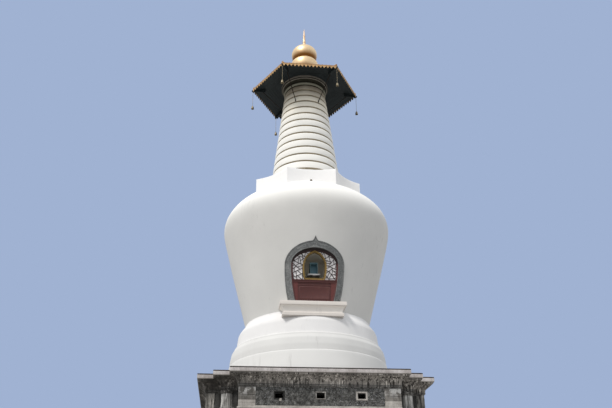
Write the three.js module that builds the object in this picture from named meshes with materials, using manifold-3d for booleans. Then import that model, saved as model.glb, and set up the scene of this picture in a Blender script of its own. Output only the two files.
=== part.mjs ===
// A white bottle-shaped stupa on a grey stepped pedestal, with a niche, a ringed neck,
// a six-sided canopy hung with bells, and a gilded gourd finial.
// Millimetres, +Z up. The origin is the centre of the pedestal's underside; the niche faces -Y.
import * as THREE from "three";
import { mergeVertices } from "three/addons/utils/BufferGeometryUtils.js";
import Module from "manifold-3d";

const wasm = await Module();
wasm.setup();

// Driving dimensions. Heights that start with a capital Z are measured from the ground.
const SEAM = 0.3; // gap left between two masonry or timber faces that touch
const ROUND = 48; // facets round the large turned parts
const RING_FACETS = 32;

// Pedestal: a square with two steps back at each corner.
const CORNICE_HALF = 5650; // centre to the front of the cornice
const FRONT_HALF = 4160; // half the length of the cornice's front stretch
const STEP_HALF = (CORNICE_HALF + FRONT_HALF) / 2; // the middle step lies half way
const FOOT_H = 520;
const FASCIA_H = 250;
const FILLET_H = 60;
const COVE_H = 370;
const BEAD_H = 150;
const WAIST_H = 820;
const WAIST_INSET = 440; // the waist stands this far behind the cornice's edge
const BEAD_INSET = 380;
const FILLET_INSET = 50;
const Z_LOWER_MOULDING = FOOT_H;
const Z_WAIST = Z_LOWER_MOULDING + FASCIA_H + FILLET_H + COVE_H + BEAD_H;
const Z_UPPER_MOULDING = Z_WAIST + WAIST_H;
const Z_CORNICE = Z_UPPER_MOULDING + BEAD_H + COVE_H + FILLET_H;
const Z_TOP = Z_CORNICE + FASCIA_H; // top of the pedestal
const CORNER_SHAFT_R = 230; // round shafts on the waist's middle corners
const CORNER_SHAFT_PROUD = 45;

// Each side of the waist is a wall with a post at either end and a carved brick panel
// between them, which holds three small square niches.
const WALL_T = 400;
const POST_W = 770;
const PANEL_SINK = 40; // the posts stand proud of the panel by this much
const PANEL_HALF = FRONT_HALF - WAIST_INSET - POST_W;
const POCKET_W = 370;
const POCKET_H = 255;
const POCKET_PITCH = 1890;
const POCKET_Z = Z_TOP - 1185; // centre height of the small niches

// Three base rings under the dome. Each wall is [radius, height above the ring's foot].
const BASE_RINGS = [
  [[4295, 0], [4270, 500], [4220, 1120], [4213, 1180], [4190, 1230], [4150, 1262]],
  [[4180, 0], [4157, 300], [4085, 640], [3970, 830], [3960, 880], [3930, 925], [3885, 952]],
  [[3840, 0], [3800, 330], [3755, 650], [3700, 780], [3610, 910], [3490, 1060], [3410, 1180], [3378, 1278]],
];
const RING_H = [1270, 960, 1280];

// Dome: flares upwards to its widest point, then turns in over a flattened shoulder.
const Z_DOME = Z_TOP + RING_H[0] + RING_H[1] + RING_H[2];
const Z_WIDEST = Z_TOP + 9130;
const Z_CROWN = Z_TOP + 11500;
const WIDEST_R = 4760;
const FLARE_SLOPE = 0.265;
const FLARE_TURN = 400;
const SHOULDER_RISE = 2470;
const SHOULDER_POWER = 2.1;

// Niche: a horseshoe opening in the dome's front.
const Z_SILL = Z_TOP + 3810;
const Z_SPRING = Z_TOP + 5800; // height of the horseshoe's widest point
const FRAME_OUTER = { half: 1555, rise: 1120, drop: 3650 };
const FRAME_INNER = { half: 1215, rise: 760, drop: 3150 };
const FRAME_TIP_H = 260;
const FRAME_TIP_HALF = 150;
const FRAME_PROUD = 60;
const FRAME_DEPTH = 450; // how far the frame reaches behind the dome's surface
const Y_CHAMBER_BACK = -2150;

// Sill table that stands on the top base ring and carries the niche frame.
const SILL_HALF = 1690;
const SILL_SLAB_H = 210;
const SILL_NECK_H = 355;
const SILL_FOOT_H = 160;
const SILL_FRONT = -3830;
const SILL_X = -100; // it sits a little to the left of the niche's middle
const SILL_NECK_IN = 200;
const SILL_FOOT_IN = 130;

// Timber screen that closes the niche, leaning out with the dome.
const SCREEN_LEAN = THREE.MathUtils.degToRad(12);
const SCREEN_Y = -3350; // front of the screen at the sill
const SCREEN_BORDER = 75;
const Z_RAIL = Z_TOP + 5010; // top of the lower panel's rail
const RAIL_H = 120;
const ARCH_HALF = 525;
const ARCH_FOOT_HALF = 450;
const ARCH_BULGE_Z = Z_RAIL + 680;
const ARCH_PEAK_Z = Z_RAIL + 1490;
const ARCH_W = 95; // width of the gilded moulding round the arch
const BAR_W = 34;

const ALTAR = { half: 320, front: -3400, back: -2750, top: Z_TOP + 5430, slab: 90, overhang: 300 };
const SHRINE = { half: 200, front: -3370, back: -2950, h: 640, wall: 30, head: 60 };

// Neck: an eight-cornered seat with hollow sides, a drum and thirteen rings.
const SEAT_R = 3330;
const SEAT_HALF_ANGLE = 24.4; // degrees from the middle of a main side to its corner
const SEAT_SAG_MAIN = 240;
const SEAT_SAG_CORNER = 220;
const Z_SEAT = Z_TOP + 12000;
const VENT_R = 65;
const Z_VENT = Z_TOP + 11300;
const Z_FIRST_RING = Z_TOP + 12470;
const RING_COUNT = 13;
const RING_PITCH = 540;
const RING_PITCH_LOSS = 0.77; // a ring's height falls by this times the square of its number
const RING_R = 2060;
const RING_TAPER = 0.121; // radius lost per unit of height
const GROOVE_H = 70;
const GROOVE_IN = 80;

// Capital on the neck, as [radius, height above the top ring].
const CAPITAL = [
  [1160, 45], [1300, 52], [1345, 90], [1350, 210], [1310, 250], [1240, 262], [1240, 305], [1330, 320],
  [1400, 400], [1440, 455], [1440, 480], [1410, 486], [1410, 500], [1500, 512], [1500, 630],
];
const CAPITAL_H = 630;

// Canopy: six-sided, with pointed pendants round its eave.
const EAVE_R = 3375; // centre to corner
const Z_TEETH = Z_TOP + 19145;
const TOOTH_H = 140;
const TEETH = 15; // on each side
const TOOTH_GAP = 0.3; // share of the pitch left open between two teeth's roots
const EAVE_BAND_H = 60;
const FASCIA_T = 45;
const CEILING_T = 50;
const CEILING_FLAT_R = 1860;
const Z_EAVE = Z_TEETH + TOOTH_H; // underside of the eave band
const ROOF_EDGE_H = 40;
const ROOF_TOP_R = 640;
const Z_FINIAL = Z_TOP + 20750;

// A beam under each corner carries an iron clevis, and a bell's rod hangs from its pin by an eye.
const BEAM = { from: 2550, to: 3430, half: 32, h: 100 };
const Z_BEAM = Z_EAVE - BEAM.h; // underside of the beam
const PIN_R = 9;
const PIN_DROP = 45; // from the beam's underside to the pin
const EYE_CLEARANCE = 0.8;
const EYE_R = 25;
const EYE_T = 12;
const CLEVIS_R = 15;
const CLEVIS_GAP = 16; // from the eye's middle to each cheek
const CLEVIS_T = 8;
const BELL_HANG_R = 3350;
const Z_PIN = Z_BEAM - PIN_DROP;
const ROD_L = 1070;
const ROD_R = 9;
const BELL_H = 215;
const BELL_R = 92;
const BELL_WALL = 16;

// Iron struts from the neck to the canopy's corners.
const STRUT_R = 30;
const STRUT_FOOT = { r: 1365, z: Z_TOP + 17760 };
const STRUT_HEAD = { r: 2950, z: Z_EAVE + 160 };

// Gilded gourd finial.
const GOURD_FOOT_R = 560;
const GOURD_LOW = { r: 900, z: Z_TOP + 21440 };
const Z_GOURD_WAIST = Z_TOP + 21810;
const GOURD_WAIST_R = 600;
const GOURD_HIGH = { r: 835, z: Z_TOP + 22370 };
const Z_GOURD_TOP = Z_TOP + 22990;
const Z_TIP = Z_TOP + 24610;

const PALETTE = {
  lime: ["#e9e7e0", 0.9, 0],
  brick: ["#6b6862", 0.95, 0],
  stone: ["#b3aba0", 0.9, 0],
  greyStone: ["#7d8385", 0.85, 0],
  maroon: ["#5a2a2c", 0.6, 0],
  paper: ["#e8dfdc", 0.8, 0],
  gilt: ["#b98a3a", 0.4, 0.6],
  boards: ["#1d2a2c", 0.8, 0],
  tile: ["#c89a62", 0.5, 0.1],
  iron: ["#26241f", 0.6, 0.6],
  bronze: ["#6d6242", 0.5, 0.7],
  gold: ["#e3bd76", 0.3, 0.9],
};
const materials = Object.fromEntries(
  Object.entries(PALETTE).map(([name, [color, roughness, metalness]]) => [
    name,
    new THREE.MeshStandardMaterial({ name, color, roughness, metalness }),
  ]),
);

const root = new THREE.Group();

function place(name, geometry, material) {
  const mesh = new THREE.Mesh(geometry, materials[material]);
  mesh.name = name;
  root.add(mesh);
}

// A closed geometry as a solid that can be cut and joined.
function solid(geometry) {
  const bare = geometry.clone();
  bare.deleteAttribute("normal");
  bare.deleteAttribute("uv");
  const merged = mergeVertices(bare, 1e-3);
  return new wasm.Manifold(
    new wasm.Mesh({
      numProp: 3,
      vertProperties: merged.attributes.position.array,
      triVerts: new Uint32Array(merged.index.array),
    }),
  );
}

function geometryOf(made) {
  const mesh = made.getMesh();
  const geometry = new THREE.BufferGeometry();
  geometry.setAttribute("position", new THREE.BufferAttribute(mesh.vertProperties, 3));
  geometry.setIndex(new THREE.BufferAttribute(mesh.triVerts, 1));
  geometry.computeVertexNormals();
  return geometry;
}

// Turns a profile of [radius, height] pairs, listed from the bottom up, about the Z axis.
function turned(profile, facets = ROUND) {
  const points = profile.map(([r, z]) => new THREE.Vector2(r, z));
  return new THREE.LatheGeometry(points, facets).rotateX(Math.PI / 2);
}

function shapeOf(points) {
  return new THREE.Shape(points.map(([x, y]) => new THREE.Vector2(x, y)));
}

// Extrudes a shape drawn in plan upwards from z0 to z1.
function upright(shape, z0, z1, options = {}) {
  const geometry = new THREE.ExtrudeGeometry(shape, {
    depth: z1 - z0,
    bevelEnabled: false,
    curveSegments: 8,
    ...options,
  });
  return geometry.translate(0, 0, z0);
}

// Extrudes a shape drawn in elevation, x and z, from the front y0 back to y1.
function frontal(shape, y0, y1) {
  const geometry = new THREE.ExtrudeGeometry(shape, {
    depth: y1 - y0,
    bevelEnabled: false,
    curveSegments: 7,
  });
  return geometry.rotateX(Math.PI / 2).translate(0, y1, 0);
}

// Extrudes a shape drawn in side view, y and z, from x0 to x1.
function sideways(shape, x0, x1) {
  const axes = new THREE.Matrix4().makeBasis(
    new THREE.Vector3(0, 1, 0),
    new THREE.Vector3(0, 0, 1),
    new THREE.Vector3(1, 0, 0),
  );
  const geometry = new THREE.ExtrudeGeometry(shape, { depth: x1 - x0, bevelEnabled: false });
  return geometry.applyMatrix4(axes).translate(x0, 0, 0);
}

function block(x0, x1, y0, y1, z0, z1) {
  const geometry = new THREE.BoxGeometry(x1 - x0, y1 - y0, z1 - z0);
  return geometry.translate((x0 + x1) / 2, (y0 + y1) / 2, (z0 + z1) / 2);
}

// Repeats one corner's points at the other three corners, quarter turn by quarter turn.
function fourTimes(corner) {
  return [0, 1, 2, 3].flatMap((turns) => corner.map(([x, y]) => {
    const c = [1, 0, -1, 0][turns];
    const s = [0, 1, 0, -1][turns];
    return [c * x - s * y, s * x + c * y];
  }));
}

// The pedestal's stepped outline, drawn in by an inset.
function steppedOutline(inset) {
  const front = FRONT_HALF - inset;
  const middle = STEP_HALF - inset;
  const side = CORNICE_HALF - inset;
  const corner = [
    [front, -side],
    [front, -middle],
    [middle, -middle],
    [middle, -front],
    [side, -front],
  ];
  return fourTimes(corner);
}

// A moulding that follows the stepped outline: each [inset, z] pair is one level of it.
function moulding(profile) {
  const levels = profile.length - 1;
  const geometry = upright(shapeOf(steppedOutline(0)), 0, levels, { steps: levels });
  const position = geometry.attributes.position;
  for (let i = 0; i < position.count; i++) {
    const [inset, z] = profile[Math.round(position.getZ(i))];
    position.setX(i, position.getX(i) - Math.sign(position.getX(i)) * inset);
    position.setY(i, position.getY(i) - Math.sign(position.getY(i)) * inset);
    position.setZ(i, z);
  }
  return geometry;
}

// A hollow quarter curve between two insets, as [inset, z] pairs going up.
function cove(insetLow, insetHigh, z0, z1, steps = 5) {
  return Array.from({ length: steps + 1 }, (_, i) => {
    const angle = (i / steps) * (Math.PI / 2);
    const share = 1 - Math.cos(angle);
    return [insetLow + (insetHigh - insetLow) * share, z0 + (z1 - z0) * Math.sin(angle)];
  });
}

function addPedestal() {
  place("pedestal_foot", moulding([[0, 0], [0, FOOT_H - SEAM]]), "stone");
  const zCoveLow = Z_UPPER_MOULDING + BEAD_H;
  const zCoveHigh = Z_CORNICE - FILLET_H;
  const bead = [
    [BEAD_INSET + 60, Z_UPPER_MOULDING],
    [BEAD_INSET + 60, Z_UPPER_MOULDING + BEAD_H / 3],
    [BEAD_INSET, Z_UPPER_MOULDING + BEAD_H / 3],
  ];
  const rise = [...bead, ...cove(BEAD_INSET, FILLET_INSET, zCoveLow, zCoveHigh)];
  const upper = [...rise, [FILLET_INSET, Z_CORNICE - SEAM]];
  const mirror = (z) => Z_WAIST + Z_UPPER_MOULDING - z;
  const lower = [
    [0, Z_LOWER_MOULDING],
    [0, Z_LOWER_MOULDING + FASCIA_H],
    [FILLET_INSET, Z_LOWER_MOULDING + FASCIA_H],
    ...rise.map(([inset, z]) => [inset, mirror(z)]).reverse(),
  ];
  lower[lower.length - 1][1] -= SEAM;
  place("pedestal_base_moulding", moulding(lower), "stone");
  place("pedestal_upper_moulding", moulding(upper), "brick");
  place("pedestal_cornice", moulding([[0, Z_CORNICE], [0, Z_TOP - SEAM]]), "stone");
}

// The waist is a core with a wall on each side. A wall has a post at either end, and its
// panel between them is sunk a little and cut for the small niches.
function addWaist() {
  const side = CORNICE_HALF - WAIST_INSET;
  const middle = STEP_HALF - WAIST_INSET;
  const front = FRONT_HALF - WAIST_INSET;
  const back = side - WALL_T;
  const z1 = Z_UPPER_MOULDING - SEAM;
  const quarter = [[front, -back], [front, -middle], [middle, -middle], [middle, -front], [back, -front]];
  let core = solid(upright(shapeOf(fourTimes(quarter)), Z_WAIST, z1));
  const shaftAt = middle - CORNER_SHAFT_R + CORNER_SHAFT_PROUD;
  for (const [x, y] of fourTimes([[shaftAt, -shaftAt]])) {
    core = core.add(solid(turned([[0, Z_WAIST], [CORNER_SHAFT_R, Z_WAIST], [CORNER_SHAFT_R, z1], [0, z1]], 20)
      .translate(x, y, 0)));
  }
  place("waist_core", geometryOf(core), "stone");
  ["front", "right", "back", "left"].forEach((name, turns) => {
    let wall = solid(block(-front, front, -side, -back - SEAM, Z_WAIST, z1));
    const panel = block(-PANEL_HALF, PANEL_HALF, -side - 10, -side + PANEL_SINK, Z_WAIST - 10, z1 + 10);
    wall = wall.subtract(solid(panel));
    for (const x of [-POCKET_PITCH, 0, POCKET_PITCH]) {
      wall = wall.subtract(solid(block(x - POCKET_W / 2, x + POCKET_W / 2, -side - 10, -back + 10,
        POCKET_Z - POCKET_H / 2, POCKET_Z + POCKET_H / 2)));
    }
    place(`waist_wall_${name}`, geometryOf(wall).rotateZ((turns * Math.PI) / 2), "brick");
  });
}

// One base ring: a battered wall that ends in a rounded lip or shoulder.
function ringProfile(i, grow = 0) {
  const z = Z_TOP + RING_H.slice(0, i).reduce((sum, h) => sum + h, 0);
  const wall = BASE_RINGS[i].map(([r, rise]) => [r + grow, z + rise + (rise ? grow : 0)]);
  const top = z + RING_H[i] - SEAM + grow;
  return [[0, z], ...wall, [wall[wall.length - 1][0], top], [0, top]];
}

function addBaseRings() {
  BASE_RINGS.forEach((_, i) => {
    place(`base_ring_${i + 1}`, turned(ringProfile(i)), "lime");
  });
}

// The dome's radius at a height, moved out by an offset.
function domeRadius(z, offset = 0) {
  if (z < Z_WIDEST) {
    return WIDEST_R + offset - FLARE_SLOPE * (Math.hypot(Z_WIDEST - z, FLARE_TURN) - FLARE_TURN);
  }
  const rise = Math.min(1, (z - Z_WIDEST) / (SHOULDER_RISE + offset));
  return (WIDEST_R + offset) * (1 - rise ** SHOULDER_POWER) ** (1 / SHOULDER_POWER);
}

function domeSolid(offset = 0, z0 = Z_DOME, z1 = Z_CROWN + offset) {
  const levels = 16;
  const wall = Array.from({ length: levels + 1 }, (_, i) => {
    const share = i / levels;
    const z = z0 + (z1 - z0) * (1 - (1 - share) ** 1.35);
    return [domeRadius(z, offset), z];
  });
  return solid(turned([[0, z0], ...wall, [0, z1]]));
}

// A horseshoe in elevation: half an ellipse over sides that draw in towards the sill.
function horseshoe({ half, rise, drop }, grow = 0, zFoot = Z_SILL, tip = 0) {
  const a = half + grow;
  const foot = a * Math.sqrt(1 - ((Z_SPRING - zFoot) / (drop + grow)) ** 2);
  const points = [];
  const sides = 6;
  for (let i = 0; i <= sides; i++) {
    const z = zFoot + ((Z_SPRING - zFoot) * i) / sides;
    points.push([a * Math.sqrt(1 - ((Z_SPRING - z) / (drop + grow)) ** 2), z]);
  }
  const turns = 10;
  for (let i = 1; i < turns; i++) {
    const angle = (i / turns) * (Math.PI / 2);
    const x = a * Math.cos(angle);
    const lift = tip && x < FRAME_TIP_HALF ? (tip + grow) * (1 - x / FRAME_TIP_HALF) ** 2 : 0;
    points.push([x, Z_SPRING + (rise + grow) * Math.sin(angle) + lift]);
  }
  const right = points.filter(([x]) => x > 1);
  const peak = [0, Z_SPRING + rise + grow + (tip ? tip + grow : 0)];
  const left = right.map(([x, z]) => [-x, z]).reverse();
  return { foot, shape: shapeOf([...right, peak, ...left]) };
}

const Y_OUTSIDE = -WIDEST_R - 600;

// The dome, split beside and over the niche, and the stone frame set into it.
function addDome() {
  const socketOutline = horseshoe(FRAME_OUTER, SEAM, Z_SILL, FRAME_TIP_H).shape;
  const frameSocket = solid(frontal(socketOutline, Y_OUTSIDE, -1000))
    .subtract(domeSolid(-FRAME_DEPTH - SEAM));
  const chamber = solid(frontal(horseshoe(FRAME_INNER).shape, Y_OUTSIDE, Y_CHAMBER_BACK));
  const whole = domeSolid().subtract(frameSocket).subtract(chamber);
  const far = 2 * WIDEST_R;
  const zOver = Z_SPRING + FRAME_OUTER.rise + FRAME_TIP_H + 60;
  const part = (x0, x1, z0, z1) => geometryOf(whole.intersect(solid(block(x0, x1, -far, far, z0, z1))));
  place("dome_left_wall", part(-far, -SEAM / 2, 0, zOver - SEAM), "lime");
  place("dome_right_wall", part(SEAM / 2, far, 0, zOver - SEAM), "lime");
  place("dome_crown", part(-far, far, zOver, far * 3), "lime");
  const ring = horseshoe(FRAME_OUTER, 0, Z_SILL, FRAME_TIP_H).shape;
  const bore = solid(frontal(horseshoe(FRAME_INNER).shape, Y_OUTSIDE, 0));
  const below = solid(block(-far, far, -far, far, Z_SILL - 900, Z_SILL + SEAM));
  const frame = solid(frontal(ring, Y_OUTSIDE, -1000))
    .intersect(domeSolid(FRAME_PROUD))
    .subtract(domeSolid(-FRAME_DEPTH))
    .subtract(bore)
    .subtract(below);
  place("niche_frame", geometryOf(frame), "greyStone");
}

// The sill table: a top slab, a drawn-in neck and a foot slab, cut to the dome behind it.
function addSill() {
  const z1 = Z_SILL - SEAM;
  const z2 = z1 - SILL_SLAB_H;
  const z3 = z2 - SILL_NECK_H;
  const z4 = z3 - SILL_FOOT_H;
  const back = -2700;
  const slab = (inset, low, high) =>
    solid(block(SILL_X - SILL_HALF + inset, SILL_X + SILL_HALF - inset, SILL_FRONT + inset, back, low, high));
  const table = slab(0, z2, z1).add(slab(SILL_NECK_IN, z3 - 1, z2 + 1)).add(slab(SILL_FOOT_IN, z4, z3));
  const ringBody = solid(turned(ringProfile(BASE_RINGS.length - 1, SEAM)));
  const sill = table.subtract(domeSolid(SEAM, Z_DOME - 10)).subtract(ringBody);
  place("niche_sill", geometryOf(largest(sill)), "lime");
}

function largest(made) {
  return made.decompose().sort((a, b) => b.volume() - a.volume())[0];
}

// A slab that leans out with the screen, from one depth behind its front to another.
function leaningSlab(depth0, depth1) {
  const reach = 6000;
  const slab = new THREE.BoxGeometry(reach, depth1 - depth0, reach)
    .translate(0, (depth0 + depth1) / 2, 0)
    .rotateX(SCREEN_LEAN)
    .translate(0, SCREEN_Y, Z_SILL);
  return solid(slab);
}

function screenPiece(outline, depth0, depth1) {
  return solid(frontal(outline, Y_OUTSIDE, -1500)).intersect(leaningSlab(depth0, depth1));
}

// The arch in the screen: straight-footed, bulging, then drawn up to a point.
function archOutline(grow) {
  const half = ARCH_HALF + grow;
  const foot = ARCH_FOOT_HALF + grow;
  const zFoot = Z_RAIL + ARCH_W - grow;
  const zHaunch = ARCH_PEAK_Z - 190 + grow * 0.8;
  const zOgee = ARCH_PEAK_Z - 110 + grow;
  const shape = new THREE.Shape();
  shape.moveTo(-foot, zFoot);
  shape.lineTo(foot, zFoot);
  shape.quadraticCurveTo(half, zFoot + 300, half, ARCH_BULGE_Z);
  shape.quadraticCurveTo(half, ARCH_BULGE_Z + 380, half * 0.45, zHaunch);
  shape.quadraticCurveTo(half * 0.12, zOgee, 0, ARCH_PEAK_Z - ARCH_W + grow * 1.2);
  shape.quadraticCurveTo(-half * 0.12, zOgee, -half * 0.45, zHaunch);
  shape.quadraticCurveTo(-half, ARCH_BULGE_Z + 380, -half, ARCH_BULGE_Z);
  shape.quadraticCurveTo(-half, zFoot + 300, -foot, zFoot);
  return shape;
}

// One straight lattice bar between two points in elevation.
function bar([x0, z0], [x1, z1]) {
  const length = Math.hypot(x1 - x0, z1 - z0) + BAR_W;
  const angle = Math.atan2(z1 - z0, x1 - x0);
  const geometry = new THREE.BoxGeometry(length, 4000, BAR_W)
    .rotateY(-angle)
    .translate((x0 + x1) / 2, -3000, (z0 + z1) / 2);
  return solid(geometry);
}

// Broken-ice lattice: zigzag bars between the border, a wandering middle line and the arch.
function latticeBars() {
  const stations = 13;
  const outer = [];
  const middle = [];
  const inner = [];
  for (let i = 0; i <= stations; i++) {
    const angle = -0.62 + ((Math.PI + 1.24) * i) / stations;
    const wander = 0.07 * Math.sin(i * 2.4);
    const ray = (rx, rz, turn) => [
      rx * Math.cos(angle + turn),
      Z_SPRING + rz * Math.sin(angle + turn) * (Math.sin(angle) < 0 ? 1.25 : 1),
    ];
    outer.push(ray(1180, 760, 0));
    middle.push(ray(890, 660, 0.09 + wander));
    inner.push(ray(600, 520, wander));
  }
  const bars = [];
  for (let i = 0; i <= stations; i++) {
    bars.push([outer[i], middle[i]], [middle[i], inner[i]]);
    if (i < stations) {
      bars.push([middle[i], outer[i + 1]]);
      bars.push([middle[i], middle[i + 1]]);
      bars.push(i % 2 ? [inner[i], middle[i + 1]] : [middle[i], inner[i + 1]]);
    }
  }
  return bars.map(([a, b]) => bar(a, b));
}

function addScreen() {
  const opening = horseshoe(FRAME_INNER, -1, Z_SILL + 1).shape;
  const clear = horseshoe(FRAME_INNER, -SCREEN_BORDER, Z_SILL + 1).shape;
  const wide = 2 * FRAME_INNER.half;
  const over = solid(block(-wide, wide, Y_OUTSIDE, 0, Z_RAIL, Z_TOP + 8000));
  const under = solid(block(-wide, wide, Y_OUTSIDE, 0, Z_SILL + SCREEN_BORDER, Z_RAIL - RAIL_H));
  const archHole = solid(frontal(archOutline(ARCH_W), Y_OUTSIDE, 0));
  const bars = latticeBars();

  const border = screenPiece(opening, 0, 130)
    .subtract(solid(frontal(clear, Y_OUTSIDE, 0)).intersect(over))
    .subtract(solid(frontal(clear, Y_OUTSIDE, 0)).intersect(under));
  place("screen_frame", geometryOf(border.subtract(archHole)), "maroon");

  const field = horseshoe(FRAME_INNER, -SCREEN_BORDER - SEAM, Z_SILL + 1).shape;
  const overField = solid(block(-wide, wide, Y_OUTSIDE, 0, Z_RAIL + SEAM, Z_TOP + 8000));
  const clearArch = solid(frontal(archOutline(ARCH_W + SEAM), Y_OUTSIDE, 0));
  const backing = screenPiece(field, 80, 110).intersect(overField).subtract(clearArch);

  const net = bars.slice(1).reduce((sum, next) => sum.add(next), bars[0]);
  const rim = screenPiece(field, 40, 80 - SEAM)
    .subtract(solid(frontal(horseshoe(FRAME_INNER, -SCREEN_BORDER - 30, Z_SILL).shape, Y_OUTSIDE, 0)))
    .intersect(overField)
    .subtract(clearArch);
  const lattice = screenPiece(field, 40, 80 - SEAM)
    .intersect(net)
    .intersect(overField)
    .subtract(clearArch)
    .add(rim);
  const halves = {
    left: block(-wide, 0, Y_OUTSIDE, 0, 0, Z_CROWN),
    right: block(0, wide, Y_OUTSIDE, 0, 0, Z_CROWN),
  };
  for (const [name, half] of Object.entries(halves)) {
    place(`screen_backing_${name}`, geometryOf(largest(backing.intersect(solid(half)))), "paper");
    place(`screen_lattice_${name}`, geometryOf(largest(lattice.intersect(solid(half)))), "maroon");
  }

  const moulded = screenPiece(archOutline(ARCH_W - SEAM), -25, 120)
    .subtract(solid(frontal(archOutline(0), Y_OUTSIDE, 0)));
  place("screen_arch", geometryOf(moulded), "gilt");

  const zPanel = Z_SILL + SCREEN_BORDER + SEAM;
  const underField = solid(block(-wide, wide, Y_OUTSIDE, 0, zPanel, Z_RAIL - RAIL_H - SEAM));
  const panel = screenPiece(field, 50, 95).intersect(underField);
  place("screen_panel", geometryOf(largest(panel)), "maroon");
}

// What stands in the niche behind the screen.
function addAltar() {
  const { half, front, back, top, slab, overhang } = ALTAR;
  const stand = solid(block(-half + 60, half - 60, front + overhang, back, Z_SILL + SEAM, top));
  const table = stand.add(solid(block(-half, half, front, back, top - slab, top)));
  place("niche_altar", geometryOf(table), "stone");
  const side = SHRINE.half;
  const clear = side - SHRINE.wall;
  const cabinet = solid(block(-side, side, SHRINE.front, SHRINE.back, top + SEAM, top + SHRINE.h));
  const inside = solid(block(-clear, clear, SHRINE.front - 10, SHRINE.back - SHRINE.wall,
    top + SHRINE.wall, top + SHRINE.h - SHRINE.head));
  place("niche_shrine", geometryOf(cabinet.subtract(inside)), "maroon");
}

// Angle in plan, measured from the front (-Y) towards +X.
function polar(radius, degrees) {
  const angle = THREE.MathUtils.degToRad(degrees);
  return [radius * Math.sin(angle), -radius * Math.cos(angle)];
}

function seatOutline() {
  const shape = new THREE.Shape();
  const corners = [0, 90, 180, 270].flatMap((side) => [side - SEAT_HALF_ANGLE, side + SEAT_HALF_ANGLE]);
  shape.moveTo(...polar(SEAT_R, corners[0]));
  corners.forEach((from, i) => {
    const to = i + 1 < corners.length ? corners[i + 1] : corners[0] + 360;
    const half = (to - from) / 2;
    const sag = i % 2 ? SEAT_SAG_CORNER : SEAT_SAG_MAIN;
    const flat = SEAT_R * Math.cos(THREE.MathUtils.degToRad(half));
    shape.quadraticCurveTo(...polar(flat - 2 * sag, from + half), ...polar(SEAT_R, to));
  });
  return shape;
}

function addNeck() {
  let seat = solid(upright(seatOutline(), Z_TOP + 10300, Z_SEAT)).subtract(domeSolid(SEAM));
  for (const angle of [0, 1, 2, 3]) {
    const vent = new THREE.CylinderGeometry(VENT_R, VENT_R, 1500, 16)
      .translate(0, -3050, Z_VENT)
      .rotateZ((angle * Math.PI) / 2);
    seat = seat.subtract(solid(vent));
  }
  place("neck_seat", geometryOf(largest(seat)), "lime");
  const drumR = RING_R - GROOVE_IN + 30;
  const rings = [[0, Z_SEAT + SEAM], [drumR, Z_SEAT + SEAM], [drumR - 20, Z_FIRST_RING]];
  let z = Z_FIRST_RING;
  for (let i = 0; i < RING_COUNT; i++) {
    const h = RING_PITCH - i * i * RING_PITCH_LOSS;
    const r = RING_R - (z - Z_FIRST_RING) * RING_TAPER;
    const rTop = r - h * RING_TAPER * 0.5;
    rings.push(
      [r - GROOVE_IN, z + 2],
      [r - GROOVE_IN, z + GROOVE_H],
      [r - 25, z + GROOVE_H],
      [r, z + GROOVE_H + 45],
      [rTop, z + h - 45],
      [rTop - 25, z + h],
    );
    z += h;
  }
  const lastR = rings[rings.length - 1][0];
  rings.pop();
  rings.push([lastR, z - SEAM], [0, z - SEAM]);
  const body = turned(rings, RING_FACETS);
  place("neck_rings", body, "lime");
  const side = CAPITAL.map(([r, rise]) => [r, z + rise]);
  const capital = [[0, z], [CAPITAL[0][0], z], ...side, [0, z + CAPITAL_H]];
  place("neck_capital", turned(capital, RING_FACETS), "lime");
  return { body: solid(body), zTop: z + CAPITAL_H };
}

// A six-sided turned piece with a flat side towards the front.
function sixSided(profile) {
  return turned(profile, 6).rotateZ(Math.PI / 6);
}

// Plan angle of a canopy corner, turned from the front towards +X.
function cornerTurn(i) {
  return THREE.MathUtils.degToRad(30 + 60 * i);
}

// One side of the eave: a band with pointed pendants, cut at 60 degrees to meet its neighbours.
function eaveSide() {
  const half = EAVE_R / 2;
  const apothem = EAVE_R * Math.cos(Math.PI / 6);
  const pitch = (2 * half) / TEETH;
  const root = (pitch * (1 - TOOTH_GAP)) / 2;
  const edge = [[-half, Z_EAVE]];
  for (let i = 0; i < TEETH; i++) {
    const x = -half + pitch * (i + 0.5);
    edge.push([x - root, Z_EAVE], [x, Z_TEETH], [x + root, Z_EAVE]);
  }
  edge.push([half, Z_EAVE], [half, Z_EAVE + EAVE_BAND_H], [-half, Z_EAVE + EAVE_BAND_H]);
  const plate = solid(frontal(shapeOf(edge), -apothem, -apothem + FASCIA_T));
  const slice = shapeOf([[0, 0], [-half, -apothem], [half, -apothem]]);
  return plate.intersect(solid(upright(slice, Z_TEETH - 10, Z_EAVE + 200)));
}

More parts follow.
